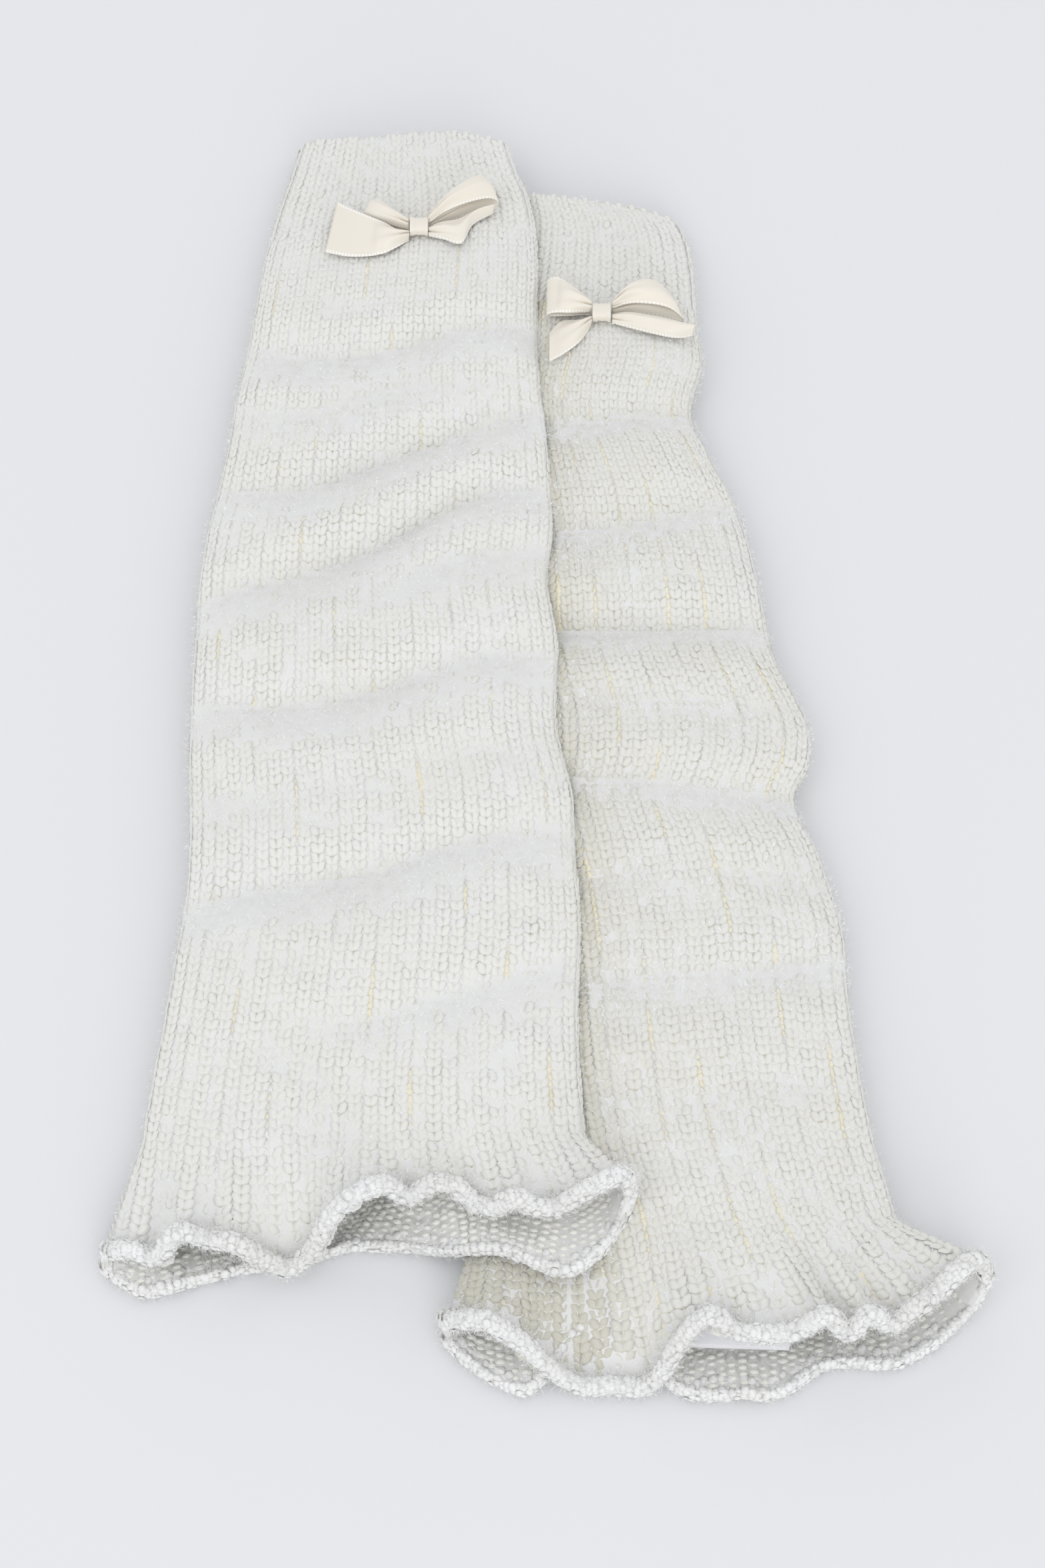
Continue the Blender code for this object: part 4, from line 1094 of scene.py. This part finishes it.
def knitWarmer(warmer):
    grid = warmer["grid"]
    name = warmer["name"]
    tube = shellTube(warmer)
    points, joints, out, faces = knitStitches(warmer, bodyWales(warmer), grid["cuffRows"],
                                              grid["hemEnd"] + 2)
    middle = (warmer["cuffSeam"] + warmer["hemSeam"]) / 2
    upper = points[:, :, 1].mean(axis=1) > middle
    pieces = [joinedCopies(name + part + "Stitches", faces, points[chosen], stitchYarn,
                           out[chosen], stitch["napShare"], joints[chosen])
              for part, chosen in (("Upper", upper), ("Lower", ~upper))]
    span = grid["topColumns"] - 1
    count = grid["points"].shape[1]
    pitch = span / stitch["cuffRibs"]
    wide = stitch["cuffWaleShare"]
    cuffWales = [(steadyColumn((k + 0.5) * pitch), wide * pitch, stitch["cuffCrown"])
                 for k in range(stitch["cuffRibs"])]
    for k in stitch["cuffSides"]:
        cuffWales.append((steadyColumn(span + k * cloth["lowRefine"]), cloth["lowRefine"] * wide, 0.0))
        if warmer["sideWales"][0]:
            cuffWales.append((steadyColumn(count - k * cloth["lowRefine"]), cloth["lowRefine"] * wide, 0.0))
    points, joints, out, faces = knitStitches(warmer, cuffWales, 0, grid["cuffRows"] + 1)
    # the cuff's stitches carry half the painted shade of their holes
    pieces.append(joinedCopies(name + "CuffStitches", faces, points, stitchYarn,
                               out, stitch["napShare"], joints * stitch["cuffJoint"]))
    pieces += purlPieces(warmer)
    pieces.append(rolledRim(warmer))
    return tube, pieces


overTube, overPieces = knitWarmer(over)
print("over warmer is knitted")
underTube, underPieces = knitWarmer(under)
print("under warmer is knitted")


def hairs(name, roots, normals, lengths, width, material):
    # Loose fibres: narrow strips that bend once and end in a point, leaning any way.
    count = len(roots)
    lean = unit(dice.normal(0, 1, (count, 3)))
    way = unit(normals + lean * fuzz["lean"])
    way = np.where((way * normals).sum(-1, keepdims=True) < 0.1, unit(way + normals), way)
    bend = unit(np.cross(way, lean)) * fuzz["curl"]
    side = unit(np.cross(way, normals + fuzz["twist"] * dice.normal(0, 1, (count, 3)))) * width / 2
    spines = [roots + way * lengths * t + bend * lengths * fuzz["bendShare"] * t * t
              for t in (0.0, fuzz["bendAt"], 1.0)]
    points = np.stack([spines[0], spines[1] + side, spines[2], spines[1] - side], axis=1)
    faces = np.array([[0, 1, 3], [1, 2, 3]])
    return joinedCopies(name, faces, points, material, normals, 0.0)


def fuzzFor(warmer, count, glintCount):
    grid = warmer["grid"]
    points, normals = grid["points"], grid["normals"]
    shown = np.zeros(points.shape[:2], bool)
    shown[:grid["hemEnd"], :grid["topColumns"] + 3 * cloth["lowRefine"]] = True
    if warmer["sideWales"][0]:
        shown[:grid["hemEnd"], -3 * cloth["lowRefine"]:] = True
    if warmer is under:
        shown &= uncovered(points, fuzz["coveredMargin"], fuzz["coveredFront"])
    places = np.argwhere(shown)
    weight = np.linalg.norm(np.gradient(points, axis=1), axis=-1)[shown]
    weight = weight * (1 + fuzz["sideExtra"] * (normals[..., 2][shown] < 0.5))
    soft = softAt(warmer, points[..., 0][shown], points[..., 1][shown])
    weight = weight * (fuzz["bareDensity"] + fuzz["softExtra"] * soft)
    chosen = places[dice.choice(len(places), count, p=weight / weight.sum())]
    rowsAll = np.arange(len(points))[:, None] * np.ones(points.shape[1])
    rolled = np.argwhere(rowsAll > grid["hemEnd"] - 2)
    rolled = rolled[dice.choice(len(rolled), fuzz["rimCount"])]
    inside = np.argwhere((rowsAll > grid["bodyEnd"]) & (rowsAll < grid["hemEnd"]))
    inside = inside[dice.choice(len(inside), fuzz["innerCount"])]
    chosen = np.concatenate([chosen, rolled, inside])
    side = np.where(np.arange(len(chosen)) < count, 1.0, -1.0)[:, None]
    out = normals[chosen[:, 0], chosen[:, 1]] * side
    spread = dice.normal(0, fuzz["rootSpread"], (len(chosen), 3))
    roots = points[chosen[:, 0], chosen[:, 1]] + out * fuzz["rootLift"] + spread
    lengths = dice.uniform(*fuzz["length"], (len(chosen), 1))
    lengths[count:] = dice.uniform(*fuzz["rimLength"], (len(chosen) - count, 1))
    name, width = warmer["name"], fuzz["width"]
    pile = hairs(name + "Fuzz", roots[:count], out[:count], lengths[:count], width, napYarn)
    fluff = hairs(name + "Fluff", roots[count:], out[count:], lengths[count:], width, fluffYarn)
    picked = places[dice.choice(len(places), glintCount, p=weight / weight.sum())]
    out = normals[picked[:, 0], picked[:, 1]]
    spread = dice.normal(0, fuzz["glintSpread"], (glintCount, 3))
    roots = points[picked[:, 0], picked[:, 1]] + out * fuzz["glintLift"] + spread
    lengths = dice.uniform(*fuzz["glintLength"], (glintCount, 1))
    flecks = hairs(name + "Glints", roots, out, lengths, fuzz["glintWidth"], glintYarn)
    return [pile, fluff, flecks]


overPieces += fuzzFor(over, fuzz["overCount"], fuzz["overGlints"])
underPieces += fuzzFor(under, fuzz["underCount"], fuzz["underGlints"])
print("loose fibres are on")

# Ribbon stations: far x, y, lift and near x, y, lift above the knit.
overBow = {
    "name": "over",
    "warmer": over,
    "knot": (-37.0, 211.8),
    "slant": {"bow_tail_r": 11.0},  # how far back the cut of a tail runs
    "parts": {
        "bow_loop_l": [
            (-40.6, 214.2, 1.1, -40.6, 211.4, 1.1), (-46.0, 219.0, 0.9, -46.5, 213.0, 0.9),
            (-51.0, 225.0, 0.9, -54.5, 215.5, 0.9), (-53.0, 227.8, 2.4, -57.8, 218.0, 2.2),
            (-50.8, 225.4, 4.3, -53.8, 216.2, 3.5), (-46.0, 219.8, 4.6, -46.4, 213.6, 3.4),
            (-40.6, 214.6, 3.9, -40.6, 211.6, 3.3),
        ],
        "bow_loop_r": [
            (-33.4, 214.2, 1.1, -33.4, 212.6, 1.1), (-26.5, 221.5, 0.9, -25.5, 216.4, 0.9),
            (-18.0, 229.0, 0.9, -14.5, 221.0, 0.9), (-13.2, 231.8, 3.0, -8.6, 222.6, 2.4),
            (-16.4, 232.6, 7.6, -12.4, 222.4, 6.0), (-25.5, 224.2, 8.2, -24.6, 217.6, 6.4),
            (-33.4, 214.8, 4.4, -33.4, 212.8, 4.0),
        ],
        "bow_tail_l": [
            (-40.6, 210.4, 1.6, -40.6, 207.6, 1.2), (-45.0, 211.4, 3.2, -45.0, 204.0, 1.6),
            (-50.5, 214.2, 5.4, -51.0, 201.2, 1.5), (-58.6, 219.0, 6.2, -61.0, 201.0, 1.6),
            (-67.0, 226.0, 5.0, -70.7, 203.5, 2.2),
        ],
        "bow_tail_r": [
            (-33.4, 211.6, 1.4, -33.4, 208.6, 1.2), (-29.0, 213.8, 2.0, -28.1, 206.2, 1.6),
            (-23.0, 215.4, 2.4, -21.8, 204.0, 1.6), (-16.0, 218.4, 2.6, -18.0, 212.6, 1.8),
            (-9.0, 220.8, 2.4, -10.5, 218.6, 2.0),
        ],
    },
}
underBow = {
    "name": "under",
    "warmer": under,
    "knot": (27.8, 175.4),
    "slant": {"bow_tail_r": 12.0},
    "parts": {
        "bow_loop_l": [
            (24.2, 178.0, 1.1, 24.2, 175.4, 1.1), (17.0, 184.0, 1.0, 17.0, 175.0, 1.0),
            (11.5, 188.0, 1.4, 11.0, 175.0, 1.2), (8.8, 189.6, 3.6, 8.6, 174.2, 3.0),
            (12.0, 189.4, 6.4, 11.2, 173.8, 5.0), (17.0, 185.2, 6.6, 17.0, 174.2, 4.6),
            (24.2, 178.6, 4.4, 24.2, 175.6, 3.8),
        ],
        "bow_loop_r": [
            (31.6, 178.0, 1.1, 31.6, 176.2, 1.1), (38.5, 184.0, 0.9, 39.5, 177.4, 0.9),
            (45.5, 186.6, 0.9, 51.5, 176.4, 0.9), (50.6, 186.4, 3.6, 57.0, 174.8, 2.6),
            (46.0, 188.6, 7.0, 51.4, 177.6, 5.4), (38.5, 186.0, 7.4, 39.5, 178.4, 5.2),
            (31.6, 178.8, 4.4, 31.6, 176.6, 4.0),
        ],
        "bow_tail_l": [
            (24.2, 173.8, 1.4, 24.2, 171.0, 1.2), (19.0, 172.6, 1.6, 20.0, 163.4, 1.6),
            (13.5, 172.0, 1.8, 14.6, 158.0, 1.6), (9.4, 166.0, 2.6, 9.4, 154.0, 2.2),
        ],
        "bow_tail_r": [
            (31.6, 174.8, 1.4, 31.6, 172.0, 1.2), (37.0, 175.8, 2.0, 37.0, 170.0, 1.6),
            (45.0, 175.0, 2.4, 45.0, 168.0, 1.6), (54.5, 173.6, 2.6, 53.0, 166.8, 2.0),
            (61.5, 171.4, 2.6, 60.0, 168.6, 2.2),
        ],
    },
}
ribbon = {
    "along": 44,
    "across": 32,
    "thickness": 0.4,
    "clearance": -0.55,  # the knit lies a little inside the solid
    "pleats": 2.5,
    "pleatDepth": 1.3,
    "pleatReach": 9.0,
    "cup": 4.4,  # how far a panel arches between its edges
    "selvedge": 0.055,  # share of the width
    "dashPitch": 0.06,  # half of a dash and its gap, in centimetres
    "colour": (0.842, 0.788, 0.698),
    "edgeColour": (0.95, 0.94, 0.90),
    "weaveScale": 6.0,
    "finish": {
        "Roughness": 0.38, "Anisotropic": 0.5, "Sheen Weight": 0.3, "Sheen Roughness": 0.3,
        "Specular IOR Level": 0.6,
    },
    "knotSize": (6.4, 6.8, 5.2),
    "knotCuts": 11,
    "knotWaist": 0.12,
    "knotCrease": 0.02,
    "flatWidth": 0.016,
}
weaveBump = 0.00003


def satinMaterial():
    # Satin: smooth along the ribbon, with a fine weave and a brighter woven edge.
    material, shader, tree = newMaterial("creamSatin", ribbon["finish"])
    spot = addNode(tree, "ShaderNodeUVMap", uv_map="ribbon").outputs["UV"]
    split = addNode(tree, "ShaderNodeSeparateXYZ")
    tree.links.new(spot, split.inputs["Vector"])
    fromEdge = mathNode(tree, "PINGPONG", split.outputs["Y"], 0.5)
    isEdge = mathNode(tree, "LESS_THAN", fromEdge, ribbon["selvedge"])
    dash = mathNode(tree, "PINGPONG", split.outputs["X"], ribbon["dashPitch"])
    isDash = mathNode(tree, "GREATER_THAN", dash, ribbon["dashPitch"] * 0.4)
    dashed = mathNode(tree, "MULTIPLY", isEdge, isDash)
    tint = mixColours(tree, dashed, ribbon["colour"], ribbon["edgeColour"])
    weave = addNode(tree, "ShaderNodeTexWave", bands_direction="X", Scale=ribbon["weaveScale"])
    tree.links.new(tint, shader.inputs["Base Color"])
    tree.links.new(bumpFrom(tree, weave, spot, weaveBump, 0.5), shader.inputs["Normal"])
    return material


satin = satinMaterial()


def panelHeight(warmer, x, y):  # the knit's outside under a place in plan
    left, right = sectionValue(warmer, 1, y), sectionValue(warmer, 2, y)
    s = np.clip((2 * x - left - right) / (right - left), -0.86, 0.86)
    rise = (1 - np.abs(s) ** lie["squareness"]) ** (1 / lie["squareness"])
    crest, seam = topHeights(warmer, s, y)
    return seam + (crest - seam) * rise + ribbon["clearance"]


def ribbonPiece(bow, part, rows):
    table = np.array(rows)
    knots = np.arange(len(table))
    at = np.linspace(0, len(table) - 1, ribbon["along"] + 1)
    values = np.stack([spline(knots, table[:, k], at) for k in range(6)], -1)
    far, near = values[:, :3].copy(), values[:, 3:].copy()
    for edge in (far, near):
        edge[:, 2] += panelHeight(bow["warmer"], edge[:, 0], edge[:, 1])
    v = np.linspace(0, 1, ribbon["across"] + 1)
    points = far[:, None] * (1 - v[None, :, None]) + near[:, None] * v[None, :, None]
    along = np.gradient(points, axis=0)
    across = np.gradient(points, axis=1)
    out = unit(np.cross(along, across))
    knot = np.array([*bow["knot"]])
    away = np.linalg.norm(points[..., :2] - knot, axis=-1) - 3.0
    fade = np.exp(-np.maximum(away, 0) / ribbon["pleatReach"])
    width = np.linalg.norm(far - near, axis=1)[:, None]
    gathered = np.sqrt(np.maximum((ribbon["flatWidth"] / mm / width) ** 2 - 1, 0) * 2)
    depth = np.minimum(gathered * width / (2 * math.pi * ribbon["pleats"]), ribbon["pleatDepth"])
    wave = np.sin(2 * math.pi * ribbon["pleats"] * v + 0.6 * len(rows))
    points = points + out * (wave[None] * fade * depth)[..., None]
    spare = np.maximum(0.92 * ribbon["flatWidth"] / mm / width - 1, 0)
    cup = np.minimum(width * np.sqrt(0.375 * spare), ribbon["cup"]) * (1 - 0.6 * fade)
    points[..., 2] += cup * 4 * v * (1 - v)
    run = runLength(points[:, ribbon["across"] // 2])
    bm = bmesh.new()
    gridSurface(bm, points, np.stack(np.broadcast_arrays(run[:, None] / 10, v[None]), -1), "ribbon")
    words = part.split("_")
    name = bow["name"] + "Bow" + words[1].title() + {"l": "Left", "r": "Right"}[words[2]]
    piece = finishPiece(name, meshFrom(bm, name), satin)
    thicken(piece, ribbon["thickness"])
    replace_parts(piece, bow["name"] + "_" + part)
    return piece, run[-1] * mm


def knotPiece(bow):
    # The band round the middle: a soft block, pinched at its waist and creased.
    x, y = bow["knot"]
    size = ribbon["knotSize"]
    reach = np.array([(dx, dy) for dx in (-0.5, 0, 0.5) for dy in (-0.5, 0, 0.5)])
    z = panelHeight(bow["warmer"], x + reach[:, 0] * size[0], y + reach[:, 1] * size[1]).max()
    bm = bmesh.new()
    bmesh.ops.create_cube(bm, size=1.0)
    bmesh.ops.subdivide_edges(bm, edges=bm.edges[:], cuts=ribbon["knotCuts"], use_grid_fill=True)
    for vert in bm.verts:
        p = vert.co
        soft = Vector((p.x, p.y, p.z))
        corner = (abs(2 * p.y) ** 3 + abs(2 * p.z) ** 3) ** (1 / 3)
        scale = 1.0 / max(corner, 1.0)
        soft.y, soft.z = p.y * scale, p.z * scale
        waist = 1 - ribbon["knotWaist"] * (1 - (2 * p.x) ** 2)
        crease = ribbon["knotCrease"] * math.sin(p.x * 17.0 + 0.8)
        soft.y *= waist + crease
        soft.z *= waist + crease * 1.6
        vert.co = Vector((soft.x * size[0], soft.y * size[1], soft.z * size[2])) * mm
    centre = Vector(toMetres(np.array([x, y, z + 0.3 + size[2] / 2])))
    bmesh.ops.translate(bm, vec=centre, verts=bm.verts[:])
    layer = bm.loops.layers.uv.new("ribbon")
    for face in bm.faces:
        for loop in face.loops:
            away = loop.vert.co - centre
            loop[layer].uv = (away.y / (size[1] * mm) + 0.5, away.x / (size[0] * mm) + 0.5)
    name = bow["name"] + "BowKnot"
    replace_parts(finishPiece(name, meshFrom(bm, name), satin), bow["name"] + "_bow_knot")


def tieBow(bow):
    for part, rows in bow["parts"].items():
        piece, length = ribbonPiece(bow, part, rows)
    knotPiece(bow)


label = {
    "topLeft": (47.0, -180.5, 14.3),
    "topRight": (80.5, -182.5, 14.5),
    "lowLeft": (46.2, -190.4, 9.7),
    "lowRight": (78.3, -191.5, 9.5),
    "thickness": 0.35,
    "drop": 0.35,
    "curl": 0.25,
    "weaveScale": 900.0,
    "finish": {"Base Color": (0.76, 0.755, 0.78, 1.0), "Roughness": 0.5},
    "flat": (0.032, 0.010),
}


def hangLabel():
    u = np.linspace(0, 1, 25)[None, :, None]
    v = np.linspace(0, 1, 9)[:, None, None]
    top = np.array(label["topLeft"]) * (1 - u) + np.array(label["topRight"]) * u
    low = np.array(label["lowLeft"]) * (1 - u) + np.array(label["lowRight"]) * u
    points = top * (1 - v) + low * v
    points[..., 2] -= label["drop"] + label["curl"] * np.sin(u[..., 0] * 5.0) * v[..., 0]
    bm = bmesh.new()
    gridSurface(bm, points)
    material, shader, tree = newMaterial("whiteWoven", label["finish"])
    place = addNode(tree, "ShaderNodeTexCoord").outputs["Object"]
    weave = addNode(tree, "ShaderNodeTexWave", bands_direction="X", Scale=label["weaveScale"])
    tree.links.new(bumpFrom(tree, weave, place, weaveBump, 0.4), shader.inputs["Normal"])
    piece = finishPiece("bareLabel", meshFrom(bm, "bareLabel"), material)
    thicken(piece, label["thickness"])
    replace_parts(piece, "under_label")


tieBow(overBow)
tieBow(underBow)
hangLabel()
print("bows and label are on")
